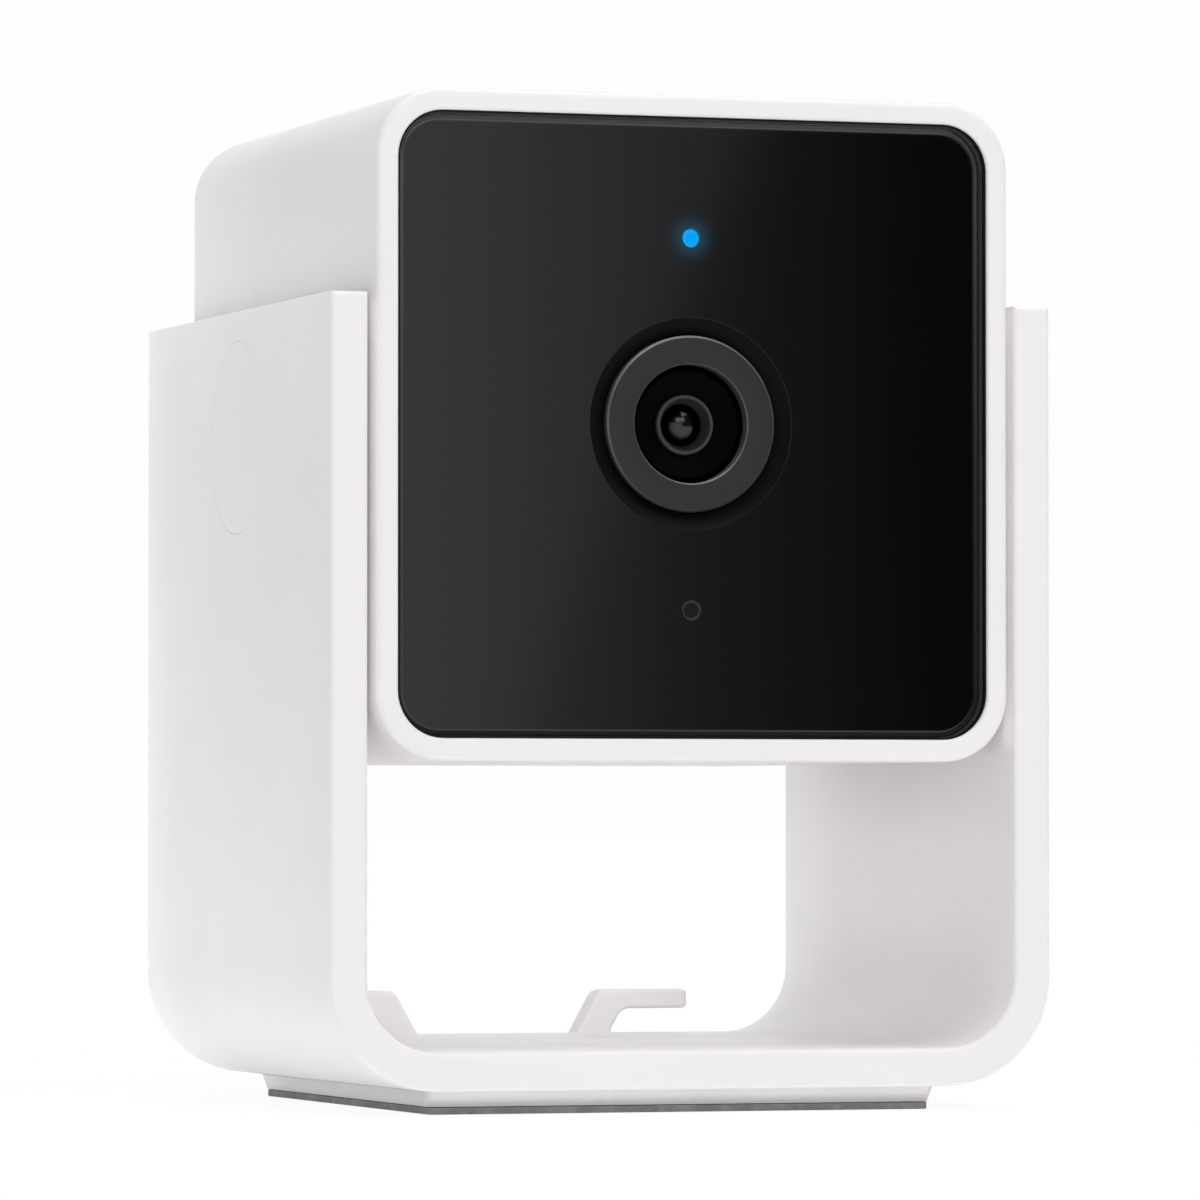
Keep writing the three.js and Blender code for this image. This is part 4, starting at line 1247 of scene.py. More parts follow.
# A dark grey strip behind it: painted shade of the gap, whose tone also paints the reflection of the panel's
# rounded edge.
GAP_SHADE_GREY = MouldedPlastic(
    "painted_gap_shade", colour=(0.065, 0.065, 0.066), roughness=0.4, depth=0.001, shine=0.2, **DARK_PART
)
BARREL_BLACK = BarrelPlastic(
    "barrel_black", "black_plastic", (0.001,) * 3, (0.06,) * 3, (0.03,) * 3, LIP_SPAN, LENS_AXIS
)
# The mesh across the hole takes the darker cone tone: painted shade of the hole's depth.
VENT_GREY = BarrelPlastic(
    "vent_grey", "black_plastic", (0.036,) * 3, (0.036,) * 3, (0.01,) * 3, VENT_SPAN, MICROPHONE_AXIS, 0.1
)
PANEL_BLACK = TintedPanel(
    "panel_black", "black_gloss", (0.0005, 0.0005, 0.0006), (0.0, 0.047, 0.088), STATUS_LIGHT_UP
)
RING_GREY = TurnedMetal(
    "turned_ring", "grey_metal", (0.0145, 0.0145, 0.0148), metallic=0.35, roughness=0.42,
    centre=LENS_AXIS, edge_highlight=(0.2,) * 3, plain=(4.8, 6.84),
)
FRONT_GLASS = LensFace("coated_glass", "lens_glass", (0.009, 0.006, 0.006), LENS_AXIS, CLEAR_RADIUS)
DARK_GLASS = CoatedGlass("dark_glass", "lens_glass", (0.05, 0.03, 0.035), (1.0, 0.8, 0.8), 0.2)
FILTER_BLUE = CoatedGlass("blue_filter", "filter_glass", (0.25, 0.5, 0.6), (0.7, 0.9, 1.0), 0.8)
CLEAR = CoatedGlass("plain_glass", "clear_glass", (0.9, 0.93, 0.94), (1.0, 1.0, 1.0), 0.9)
STATUS_BLUE = LitGuide(
    "lit_blue", "blue_light", (0.0, 0.345, 0.9), (0.01, 0.37, 0.93), STATUS_LIGHT_UP, radius=0.67
)
# The plate's foot and its sides are darkened by painted shade.
PLATE = SheetMetal(
    "satin_plate", "plate_metal", (0.92, 0.905, 0.905), 0.3, depth=0.002, cloud=0.04,
    foot=(0.6, 1.5), foot_painted_shade=0.6, side=(20.6, 21.3), side_painted_shade=0.76,
)
STEEL = SheetMetal("bright_steel", "steel", (0.6, 0.6, 0.61), 0.3, stretch=(1.0, 0.4, 1.0))
BLACK_STEEL = SheetMetal("blackened_steel", "black_steel", (0.05, 0.05, 0.055), 0.4, stretch=(1.0, 1.0, 1.0))
PAD = SoftRubber("ribbed_rubber", "pad_rubber", (0.2, 0.2, 0.202), grain=0.35)
FOAM = SoftRubber("open_foam", "grey_foam", (0.045, 0.045, 0.048), grain=0.18, depth=0.05, roughness=0.95)
BOARD = CircuitBoard("board_green", "circuit_board", (0.02, 0.13, 0.06), (0.035, 0.2, 0.09))
COPPER = StripedFilm(
    "wound_copper", "copper", (0.6, 0.3, 0.14), (0.35, 0.16, 0.07), 0.24,
    metallic=0.9, roughness=0.35, depth=0.06,
)
RIBBON = StripedFilm("flat_ribbon", "ribbon_white", (0.78, 0.78, 0.74), (0.5, 0.5, 0.47), 0.5)
FILM = StripedFilm(
    "antenna_film", "amber_film", (0.35, 0.16, 0.03), (0.55, 0.28, 0.08), 1.6,
    metallic=0.1, roughness=0.25,
)


# Sub-assemblies


class Body(Enum):
    """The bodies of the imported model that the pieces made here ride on."""

    STAND = "stand"
    HEAD = "head"
    BUTTON = "button"


def span(node: str, axis: Axis = Axis.Y) -> Point:
    """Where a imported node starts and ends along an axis, in millimetres."""
    low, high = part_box(node)
    return low[axis.value] / MM, high[axis.value] / MM


class Assembly:
    """What every sub-assembly does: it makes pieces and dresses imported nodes."""

    def piece(
        self, name: str, shape: Solid | bpy.types.Mesh, finish: Finish, body: Body, *replaced: str
    ) -> Object:
        """Makes a piece of the object.

        Args:
            name: the piece's name.
            shape: its solid or its mesh.
            finish: its finish.
            body: the body that it moves with.
            replaced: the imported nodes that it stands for.

        Returns:
            The piece's object.
        """
        mesh = shape.mesh(name) if isinstance(shape, Solid) else shape
        mesh.materials.clear()
        mesh.materials.append(finish.material())
        made = linked(name, mesh)
        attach(made, body.value)
        if replaced:
            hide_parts(*replaced)
        log.info("%s: %d faces, %s, rides on %s", name, len(mesh.polygons), finish.name, body.value)
        return made

    def dress(self, finish: Finish, *nodes: str) -> None:
        """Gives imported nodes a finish.

        Args:
            finish: the finish.
            nodes: the nodes' names.
        """
        for name in nodes:
            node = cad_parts[name]
            node.data.materials.clear()
            node.data.materials.append(finish.material())
            log.info("%s: packed node, %s", name, finish.name)

    def make(self) -> None:
        """Builds and dresses every piece of the sub-assembly."""
        raise NotImplementedError


@dataclass(frozen=True)
class ScrewSize:
    """A screw: its head, its shank and the cross in its head."""

    head: float
    head_thick: float
    shank: float
    length: float
    sunk: bool = False
    under_edge: float = 0.06
    dome: float = 0.45  # share of the head's height, as the cross's depth is
    cross_length: float = 0.6  # share of the head's radius, as the cross's width is
    cross_width: float = 0.13
    cross_depth: float = 0.55
    cross_corner: float = 0.4  # share of the cross's width, as its taper is
    cross_taper: float = 0.35
    cross_flare: float = 0.12

    def solid(self) -> Solid:
        """The screw along +Z, with the face of its head at 0.

        Returns:
            The screw, without its cross.
        """
        under = () if self.sunk else ((self.head, self.head_thick, self.under_edge),)
        rim = CRISP if self.sunk else self.head_thick * self.dome
        shank = (self.shank, self.head_thick, CRISP), (self.shank, self.length - self.shank)
        profile = polygon((0, 0), (self.head, 0, rim), *under, *shank, (0, self.length))
        return Solid().turn(profile, Axis.Z, steps=40)

    def cross(self) -> list[Solid]:
        """The two bars of the cross, a little narrower at the bottom.

        Returns:
            The bars, to be cut out of the head.
        """
        long, wide = self.head * self.cross_length, self.head * self.cross_width
        outline = rectangle(long, wide, wide * self.cross_corner)
        floor = self.head_thick * self.cross_depth
        stations = [(-1, -self.cross_flare), (0, 0), (floor, self.cross_taper * wide)]
        turns = (Matrix.Rotation(angle, 4, "Z") for angle in (0, QUARTER))
        return [Solid().plate(outline, stations, Axis.Z).place(turn) for turn in turns]

    def mesh(self, name: str, matrix: Matrix) -> bpy.types.Mesh:
        """The finished screw in its place.

        Args:
            name: the mesh's name.
            matrix: its place and turn, in millimetres.

        Returns:
            The mesh.
        """
        made = combine(self.solid().mesh(name), self.cross(), Operation.CUT)
        metres = Matrix.Translation(matrix.translation * MM) @ matrix.to_quaternion().to_matrix().to_4x4()
        made.transform(metres)
        return made


@dataclass
class Stand(Assembly):
    """The U-shaped stand with its cable hooks, plate, pad, screws and pivot caps."""

    half_width: float = 30.0
    half_depth: float = 27.0
    wall: float = 3.05
    top: float = 64.2
    under: float = 1.9
    bend: float = 8.7
    edge: float = 0.4
    back_edge: float = 0.15
    top_edge: float = 0.13
    bore: float = 4.1
    cap_radius: float = 7.8
    cap_play: float = 0.025
    cap_edge: float = 0.03
    cap_thick: float = 0.75
    cap_ledge: float = 1.1
    pocket: float = 2.0
    plate_half: Point = (21.4, 23.5)
    plate_middle: float = -0.5
    plate_corner: float = 1.2
    plate_taper: float = 0.45
    plate_edge: float = 0.03
    pad_inset: float = 0.02
    pad_corner: float = 0.8
    pad_edge: float = 0.1
    screw_spread: float = 15.0
    head_play: float = 0.15
    shank_play: float = 0.25
    hook_root: float = 0.6  # how deep it reaches into the base
    hook_foot: float = 7.2
    hook_lean: float = 1.9
    hook_stem: float = 2.7
    hook_reach: float = 17.0
    hook_height: float = 3.7
    hook_bar: float = 1.6
    hook_thick: float = 2.6
    hook_back: float = 26.8
    hook_edge: float = 0.28
    screw: ScrewSize = ScrewSize(1.8, 0.85, 0.85, 3.2, True)

    @property
    def base_top(self) -> float:
        """The height of the base's upper face."""
        return self.under + self.wall

    def outline(self) -> Polygon:
        """The U of the legs and the base, in the XZ plane.

        Returns:
            The outline.
        """
        out, inn, edge = self.half_width, self.half_width - self.wall, self.top_edge
        inner_bend = self.bend - self.wall
        return polygon(
            (-out, self.top, edge), (-out, self.under, self.bend),
            (out, self.under, self.bend), (out, self.top, edge),
            (inn, self.top, edge), (inn, self.base_top, inner_bend),
            (-inn, self.base_top, inner_bend), (-inn, self.top, edge),
        )

    def bracket(self) -> bpy.types.Mesh:
        """The bracket with a pivot recess in each leg and its two hooks.

        Returns:
            The bracket's mesh.
        """
        front = rounded_edge(-self.half_depth, 1, self.edge)
        back = rounded_edge(self.half_depth, -1, self.back_edge)[::-1]
        solid = Solid().plate(self.outline(), front + back, Axis.Y)
        solid.pierce([self.recess(side) for side in SIDES], Axis.X)
        return combine(solid.mesh("stand"), [self.hook(side) for side in SIDES], Operation.JOIN)

    def recess(self, side: int) -> Hole:
        """The stepped recess of one leg, from its outer face to its inner face.

        Args:
            side: -1 for the left leg and 1 for the right one.

        Returns:
            The hole, whose rim is cut off narrowly.
        """
        outer, inner = self.half_width, self.half_width - self.wall
        seat, floor = outer - self.cap_thick, outer - self.pocket
        rim, cut = self.cap_radius + self.cap_play, self.cap_edge
        ledge, narrow = self.cap_play + self.cap_ledge, rim - self.bore
        lip = [(outer, -2 * cut), (outer, -cut), (outer - cut / 3, -cut / 3), (outer - cut, 0)]
        steps = [(seat, 0), (seat, ledge), (floor, ledge), (floor, narrow), (inner, narrow)]
        stations = [(side * depth, inset) for depth, inset in lip + steps]
        return Hole(Circle(rim, 0, TILT_UP, 96), stations)

    def hook(self, side: int) -> Solid:
        """One cable hook: a stem that leans outwards and a bar that lies level.

        Args:
            side: -1 for the left one and 1 for the right one.

        Returns:
            The hook, whose root is flared and reaches into the base.
        """
        foot, heel, height = self.hook_foot, self.hook_foot + self.hook_stem, self.hook_height
        under = height - self.hook_bar
        # The small numbers are the flare of the root and the roundings of the corners.
        outline = polygon(
            (foot - 0.6, -self.hook_root), (foot, 0.25, 0.5), (foot + self.hook_lean, height, 1.1),
            (self.hook_reach, height, 0.4), (self.hook_reach, under, 0.4),
            (heel + 1.3, under, 1.2), (heel + 0.2, 0.25, 0.5), (heel + 0.7, -self.hook_root),
        )
        stations = rounded_ends(self.hook_back - self.hook_thick, self.hook_back, self.hook_edge)
        hook = Solid().plate(outline, stations, Axis.Y)
        return hook.place(Matrix.Translation((0, 0, self.base_top))).mirrored(side)

    def mounting_plate(self) -> Solid:
        """The tapered plate with its two countersunk holes.

        Returns:
            The plate.
        """
        bottom, top = span("mounting_plate", Axis.Z)
        outline = rectangle(*self.plate_half, self.plate_corner, 0, self.plate_middle)
        lower = rounded_edge(bottom, 1, self.plate_edge, 3)
        stations = [(depth, inset + self.plate_taper) for depth, inset in lower[:-1]]
        bevel = self.plate_edge
        stations += [(top - 2 * bevel, FINE), (top - bevel, 0.0), (top, bevel), (top, SOFT)]
        head = self.screw.head + self.head_play
        narrow = head - (self.screw.shank + self.shank_play)
        seat = bottom + self.screw.head_thick + 2 * CLEARANCE
        steps = [(bottom, 0), (bottom + CLEARANCE, 0), (seat, narrow), (top, narrow)]
        spots = (Circle(head, side * self.screw_spread, self.plate_middle, 48) for side in SIDES)
        return Solid().plate(outline, stations, Axis.Z, [Hole(spot, steps) for spot in spots])

    def foot_pad(self) -> Solid:
        """The rubber pad under the plate, with soft edges.

        Returns:
            The pad.
        """
        bottom, top = span("foot_pad", Axis.Z)
        inset = self.plate_taper + self.pad_inset
        half_u, half_v = (half - inset for half in self.plate_half)
        outline = rectangle(half_u, half_v, self.pad_corner, 0, self.plate_middle)
        return Solid().plate(outline, rounded_edge(bottom, 1, self.pad_edge, 3) + [(top, 0.0)], Axis.Z)

    def pivot_cap(self, side: int) -> Solid:
        """The flush disc in one leg.

        Args:
            side: -1 for the left leg and 1 for the right one.

        Returns:
            The disc.
        """
        outer, inner = self.half_width, self.half_width - self.cap_thick + CLEARANCE
        radius = self.cap_radius
        profile = polygon((0, inner), (radius, inner, CRISP), (radius, outer, self.cap_edge), (0, outer))
        return Solid().turn(profile, Axis.X, 0, TILT_UP, 128).mirrored(side)

    def make(self) -> None:
        """Builds and dresses the stand."""
        self.piece("stand", self.bracket(), WHITE, Body.STAND, "stand_bracket")
        self.piece("base_plate", self.mounting_plate(), PLATE, Body.STAND, "mounting_plate")
        self.piece("base_pad", self.foot_pad(), PAD, Body.STAND, "foot_pad")
        for side, word in SIDES.items():
            self.piece(f"cap_{word}", self.pivot_cap(side), WHITE, Body.STAND, f"pivot_cap_{word}")
        face, _ = span("plate_screw_1", Axis.Z)
        for number, side in enumerate(SIDES, 1):
            place = Matrix.Translation((side * self.screw_spread, self.plate_middle, face))
            mesh = self.screw.mesh(f"countersunk_screw_{number}", place)
            self.piece(mesh.name, mesh, STEEL, Body.STAND, f"plate_screw_{number}")


class Pivots(Assembly):
    """The hubs, washers and screws that the head turns on."""

    def make(self) -> None:
        """Dresses the pivots."""
        for word in SIDES.values():
            self.dress(STEEL, f"pivot_hub_{word}", f"retaining_washer_{word}")
            self.dress(FOAM, f"friction_washer_{word}")
            self.dress(BLACK_STEEL, f"pivot_screw_{word}")


@dataclass
class Housing(Assembly):
    """The white sleeve, the black front panel and the back cover with its screws."""

    half: float = 26.3
    front: float = -27.2
    back: float = 27.2
    corner: float = 5.3
    wall: float = 1.9
    front_edge: float = 0.5
    back_edge: float = 1.5
    lip_edge: float = 0.25
    mouth_edge: float = 0.2
    pocket_half: float = 24.55
    pocket_corner: float = 3.7
    gasket: float = 0.4
    ledge_half: float = 22.4
    ledge_corner: float = 9.0
    ledge_thick: float = 2.0
    bore: float = 4.1
    panel_gap: float = 0.2
    panel_edge: float = 0.5
    panel_skirt: float = 0.17  # how far the panel's back reaches into the gap round it
    panel_bevel: float = 0.05
    # The two dark strips on the pocket's wall paint the shadow of the gap round the panel.
    gap_strip_start: float = 0.27
    gap_shadow_strip: float = 0.42
    gap_strip_faces: Point = (0.02, 0.15)  # how far the strips' two faces lie in from the pocket's wall
    lens_hole: float = 8.4
    lens_hole_edge: float = 0.004
    light_hole: float = 0.72
    light_hole_edge: float = 0.03
    mic_hole: float = 0.62
    mic_sink: float = 0.78
    mic_edge: float = 0.06
    mic_sink_edge: float = 0.02
    mic_depth: float = 0.25
    mic_inset: float = 0.03
    mic_play: float = 0.01
    cover_thick: float = 2.0
    cover_recess: float = 0.5
    cover_play: float = 0.15
    cover_corner: float = 3.45
    cover_edge: float = 0.3
    cover_bevel: float = 0.1
    boss: float = 21.0
    screw_hole: float = 0.95
    screw_sink: float = 1.75
    sink_depth: float = 0.9
    sink_edge: float = 0.12
    screw_inset: float = 0.05
    speaker_up: float = 7.0
    grille_hole: float = 0.55
    grille_edge: float = 0.12
    grille_pitch: float = 1.9
    grille_rings: int = 2
    socket_half: Point = (4.7, 1.9)
    socket_edge: float = 0.25
    button_hole: float = 1.75
    button_edge: float = 0.2
    screw: ScrewSize = ScrewSize(1.6, 0.8, 0.7, 7.0)

    def square(self, half: float, corner: float) -> Polygon:
        """A rounded square about the tilt axis, in the XZ plane."""
        return rectangle(half, half, corner, 0, TILT_UP)

    def sleeve(self) -> Solid:
        """The sleeve: the rim, the pocket for the panel, the ledge behind it and the open back.

        Returns:
            The sleeve.
        """
        pocket_floor = span("front_panel")[1] + self.gasket
        ledge_back = pocket_floor + self.ledge_thick
        inner = self.half - self.wall
        rim = rounded_edge(self.front, 1, self.front_edge)
        tail = rounded_edge(self.back, -1, self.back_edge, 8)[::-1]
        lip = as_hole(rounded_edge(self.front, 1, self.lip_edge, 3))
        mouth = as_hole(rounded_edge(self.back, -1, self.mouth_edge, 3))[::-1]
        skins = (
            (self.half, self.corner, rim + tail),
            (self.pocket_half, self.pocket_corner, lip + [(pocket_floor, 0)]),
            (self.ledge_half, self.ledge_corner, [(pocket_floor, 0), (ledge_back, 0)]),
            (inner, self.corner - self.wall, [(ledge_back, 0)] + mouth),
        )
        solid = Solid()
        outer, pocket, window, cavity = (
            solid.loft(self.square(half, corner), stations, Axis.Y) for half, corner, stations in skins
        )
        solid.cap(outer[0], pocket[0])
        solid.cap(pocket[1], window[0])
        solid.cap(window[1], cavity[0])
        solid.cap(cavity[1], outer[1])
        bore = Circle(self.bore, 0, TILT_UP, 48)
        holes = [Hole(bore, [(side * self.half, 0), (side * inner, 0)]) for side in SIDES]
        return solid.pierce(holes, Axis.X)

    def panel(self) -> Solid:
        """The front panel, with its openings for the lens, the status light and the microphone.

        Returns:
            The panel.
        """
        front, back = faces = span("front_panel")
        outline = self.square(self.pocket_half - self.panel_gap, self.pocket_corner - self.panel_gap)
        skirt, reach, bevel = front + self.panel_edge + 2 * SUPPORT, self.panel_skirt, self.panel_bevel
        stations = rounded_edge(front, 1, self.panel_edge, 8)
        stations += [(skirt, 0), (skirt, -reach), (back - bevel, -reach), (back, bevel - reach)]
        holes = [
            round_hole(self.lens_hole, LENS_AXIS, faces, self.lens_hole_edge, 128),
            round_hole(self.light_hole, (0, STATUS_LIGHT_UP), faces, self.light_hole_edge),
            round_hole(self.mic_sink, MICROPHONE_AXIS, faces, self.mic_sink_edge),
        ]
        return Solid().plate(outline, stations, Axis.Y, holes)

    def painted_gap_strip(self, front: float, back: float) -> Solid:
        """A dark strip on the pocket's wall, in front of the panel's skirt, which paints the shadow of the
        gap round the panel.

        Args:
            front: the depth that it starts at.
            back: the depth that it ends at.

        Returns:
            The strip.
        """
        solid = Solid()
        half, corner = self.pocket_half, self.pocket_corner
        faces = (self.square(half - inset, corner - inset) for inset in self.gap_strip_faces)
        outer, inner = (solid.loft(face, [(front, 0), (back, 0)], Axis.Y) for face in faces)
        for outer_ring, inner_ring in zip(outer, inner):
            solid.cap(outer_ring, inner_ring)
        return solid

    def microphone_vent(self) -> Solid:
        """The grey ring that lines the microphone's hole, with the dust mesh across it.

        Returns:
            The ring and the mesh, as one solid.
        """
        front, back = span("front_panel")
        front += self.mic_inset
        floor, outer = front + self.mic_depth, self.mic_sink - self.mic_play
        profile = polygon(
            (0, back), (outer, back), (outer, front, FINE),
            (self.mic_hole, front, self.mic_edge), (self.mic_hole, floor, FINE), (0, floor),
        )
        return Solid().turn(profile, Axis.Y, 0, MICROPHONE_UP, 48)

    def grille(self) -> list[Point]:
        """Places of the grille's holes: one in the middle, and rings of six and twelve.

        Returns:
            The places, about the middle of the grille.
        """
        places = [(0.0, 0.0)]
        for ring in range(1, self.grille_rings + 1):
            for i in range(6 * ring):
                angle = i / (6 * ring) * FULL
                reach = ring * self.grille_pitch
                places.append((reach * math.cos(angle), reach * math.sin(angle)))
        return places

    def cover(self) -> Solid:
        """The back cover, with the grille, the socket's slot, the button's hole and the screws' seats.

        Returns:
            The cover.
        """
        outer = self.back - self.cover_recess
        inner = outer - self.cover_thick
        outline = self.square(self.half - self.wall - self.cover_play, self.cover_corner)
        bevel = self.cover_bevel
        stations = rounded_edge(outer, -1, self.cover_edge) + [(inner + bevel, 0), (inner, bevel)]
        centre = TILT_UP + self.speaker_up
        faces = outer, inner
        holes = [
            round_hole(self.grille_hole, (x, centre + z), faces, self.grille_edge, 24)
            for x, z in self.grille()
        ]
        half_u, half_v = self.socket_half
        slot = rectangle(half_u, half_v, half_v - 0.02, 0, SOCKET_UP)
        holes.append(Hole(slot, through(*faces, self.socket_edge)))
        holes.append(round_hole(self.button_hole, BUTTON_PLACE, faces, self.button_edge))
        seat, narrow = outer - self.sink_depth, self.screw_sink - self.screw_hole
        rim = as_hole(rounded_edge(outer, -1, self.sink_edge, 3))
        steps = rim + [(seat, 0), (seat, narrow), (inner, narrow)]
        for side in SIDES:
            spot = Circle(self.screw_sink, side * self.boss, TILT_UP - self.boss, 48)
            holes.append(Hole(spot, steps))
        return Solid().plate(outline, stations, Axis.Y, holes)

    def make(self) -> None:
        """Builds and dresses the housing."""
        self.piece("sleeve", self.sleeve(), WHITE, Body.HEAD, "head_shell")
        self.piece("front_window", self.panel(), PANEL_BLACK, Body.HEAD, "front_panel")
        lip = self.front + self.gap_strip_start
        edge_end = lip + self.gap_shadow_strip
        skirt = span("front_panel")[0] + self.panel_edge
        # Painted shadow in the gap round the panel: a black strip at the rim and a grey one behind it.
        self.piece("gap_shadow_strip", self.painted_gap_strip(lip, edge_end), GAP_SHADOW_BLACK, Body.HEAD)
        self.piece("gap_shade_strip", self.painted_gap_strip(edge_end, skirt), GAP_SHADE_GREY, Body.HEAD)
        self.piece("mic_vent", self.microphone_vent(), VENT_GREY, Body.HEAD)
        self.piece("back_cover", self.cover(), WHITE, Body.HEAD, "rear_cover")
        self.dress(FOAM, "panel_gasket")
        face = self.back - self.cover_recess - self.screw_inset
        turn = Matrix.Rotation(QUARTER, 4, "X")
        for number, side in enumerate(SIDES, 1):
            place = Matrix.Translation((side * self.boss, face, TILT_UP - self.boss)) @ turn
            mesh = self.screw.mesh(f"case_screw_{number}", place)
            self.piece(mesh.name, mesh, BLACK_STEEL, Body.HEAD, f"cover_screw_{number}")


@dataclass
class Optics(Assembly):
    """The lens with its ring, trim and barrel, and the night filter behind it."""

    ring_outer: float = 7.0
    ring_inner: float = 4.7
    ring_chamfer: float = 0.2
    ring_soft: float = 0.05
    trim_outer: float = 9.9
    trim_inner: float = 4.8
    trim_thick: float = 1.25
    tube_outer: float = 6.8
    tube_inner: float = 5.8
    tube: float = 3.0
    dish_high: float = 0.2
    dish_low: float = 0.7
    dish_crease: float = 0.03
    dish_rim: float = 0.25
    dish_top: float = 0.01
    dish_lip: float = 0.004
    lens_hole: float = 8.4
    play: float = 0.1
    barrel_radius: float = 4.5
    barrel_thread: float = 4.0
    barrel_chamfer: float = 0.3
    barrel_bore: float = 2.45
    barrel_step: float = -19.0
    barrel_shoulder: float = 7.9
    barrel_back: float = -9.6
    lip_depth: float = 1.5
    lip_radius: float = 2.35
    lip_wall: float = 0.3
    lip_foot: float = 0.4
    lip_fillet: float = 0.15
    lip_crest: float = 0.5
    funnel_radius: float = 1.7
    funnel_depth: float = 1.0
    glass_sag: float = 0.5
    glass_steps: int = 14

    def turned(self, *corners: tuple[float, ...], steps: int = 128) -> Solid:
        """A profile of (radius, depth, rounding) corners, spun about the lens's axis."""
        return Solid().turn(polygon(*corners), Axis.Y, 0, LENS_UP, steps)

    def ring(self) -> Solid:
        """The grey ring, with narrow chamfers at its edges.

        Returns:
            The ring.
        """
        front, back = span("lens_ring")
        inner, outer, soft, cut = self.ring_inner, self.ring_outer, self.ring_soft, self.ring_chamfer
        inner_cut = cut * 0.6
        return self.turned(
            (inner, back, soft), (outer, back, soft), (outer, front + cut, soft),
            (outer - cut, front, soft), (inner + inner_cut, front, soft), (inner, front + inner_cut, soft),
        )

    def trim(self) -> Solid:
        """The dark trim: dished between the ring and the panel, with a tube behind.

        Returns:
            The trim.
        """
        panel_front, panel_back = span("front_panel")
        front = panel_back + CLEARANCE
        step = front + self.trim_thick
        end = step + self.tube
        dish_in, dish_out = self.ring_outer + self.play, self.lens_hole - self.dish_top
        return self.turned(
            (self.trim_inner, front), (dish_in, front),
            (dish_in, panel_front + self.dish_low, self.dish_crease),
            (dish_out - self.dish_rim, panel_front + self.dish_high, ROUND),
            (dish_out, panel_front + self.dish_top, self.dish_lip),
            (dish_out, front), (self.trim_outer, front), (self.trim_outer, step, ROUND),
            (self.tube_outer, step), (self.tube_outer, end, SOFT), (self.tube_inner, end, SOFT),
            (self.tube_inner, step), (self.trim_inner, step),
        )

    def barrel(self) -> Solid:
        """The barrel: a thin lip and a funnel round the glass, a smooth head and a tail.

        Returns:
            The barrel.
        """
        rim = span("front_panel")[0] + self.lip_depth
        crest, shoulder = rim - self.lip_crest, rim + self.barrel_shoulder
        lip, cut = self.lip_radius, self.barrel_chamfer
        radius, thread = self.barrel_radius, self.barrel_thread
        return self.turned(
            (self.funnel_radius, rim + self.funnel_depth, SOFT), (lip - self.lip_wall, rim, CRISP),
            (lip, rim, CRISP), (lip, rim + self.lip_foot, self.lip_fillet), (radius - cut, crest, SOFT),
            (radius, crest + cut, SOFT), (radius, shoulder, ROUND), (thread, shoulder),
            (thread, self.barrel_back, ROUND), (self.barrel_bore, self.barrel_back),
            (self.barrel_bore, self.barrel_step), (self.funnel_radius, self.barrel_step),
        )

    def front_lens(self) -> Solid:
        """The front glass, a shallow dome.

        Returns:
            The glass.
        """
        front, back = span("front_lens")
        radius = span("front_lens", Axis.X)[1]
        shares = [i / self.glass_steps for i in range(self.glass_steps + 1)]
        dome = [(radius * share, front + self.glass_sag * share**2) for share in shares]
        return self.turned(*dome, (radius, back), (0, back), steps=96)

    def make(self) -> None:
        """Builds and dresses the optics."""
        self.piece("lens_bezel", self.ring(), RING_GREY, Body.HEAD, "lens_ring")
        self.piece("lens_trim", self.trim(), TRIM_BLACK, Body.HEAD, "lens_surround")
        self.piece("lens_tube", self.barrel(), BARREL_BLACK, Body.HEAD, "lens_barrel")
        self.piece("front_element", self.front_lens(), FRONT_GLASS, Body.HEAD, "front_lens")
        self.dress(DARK_GLASS, "rear_lens")
        self.dress(BLACK, "lens_holder", "filter_frame")
        self.dress(COPPER, "filter_coil")
        self.dress(FILTER_BLUE, "ir_cut_glass")
        self.dress(CLEAR, "clear_glass")
        self.dress(BLACK_STEEL, "filter_lever")


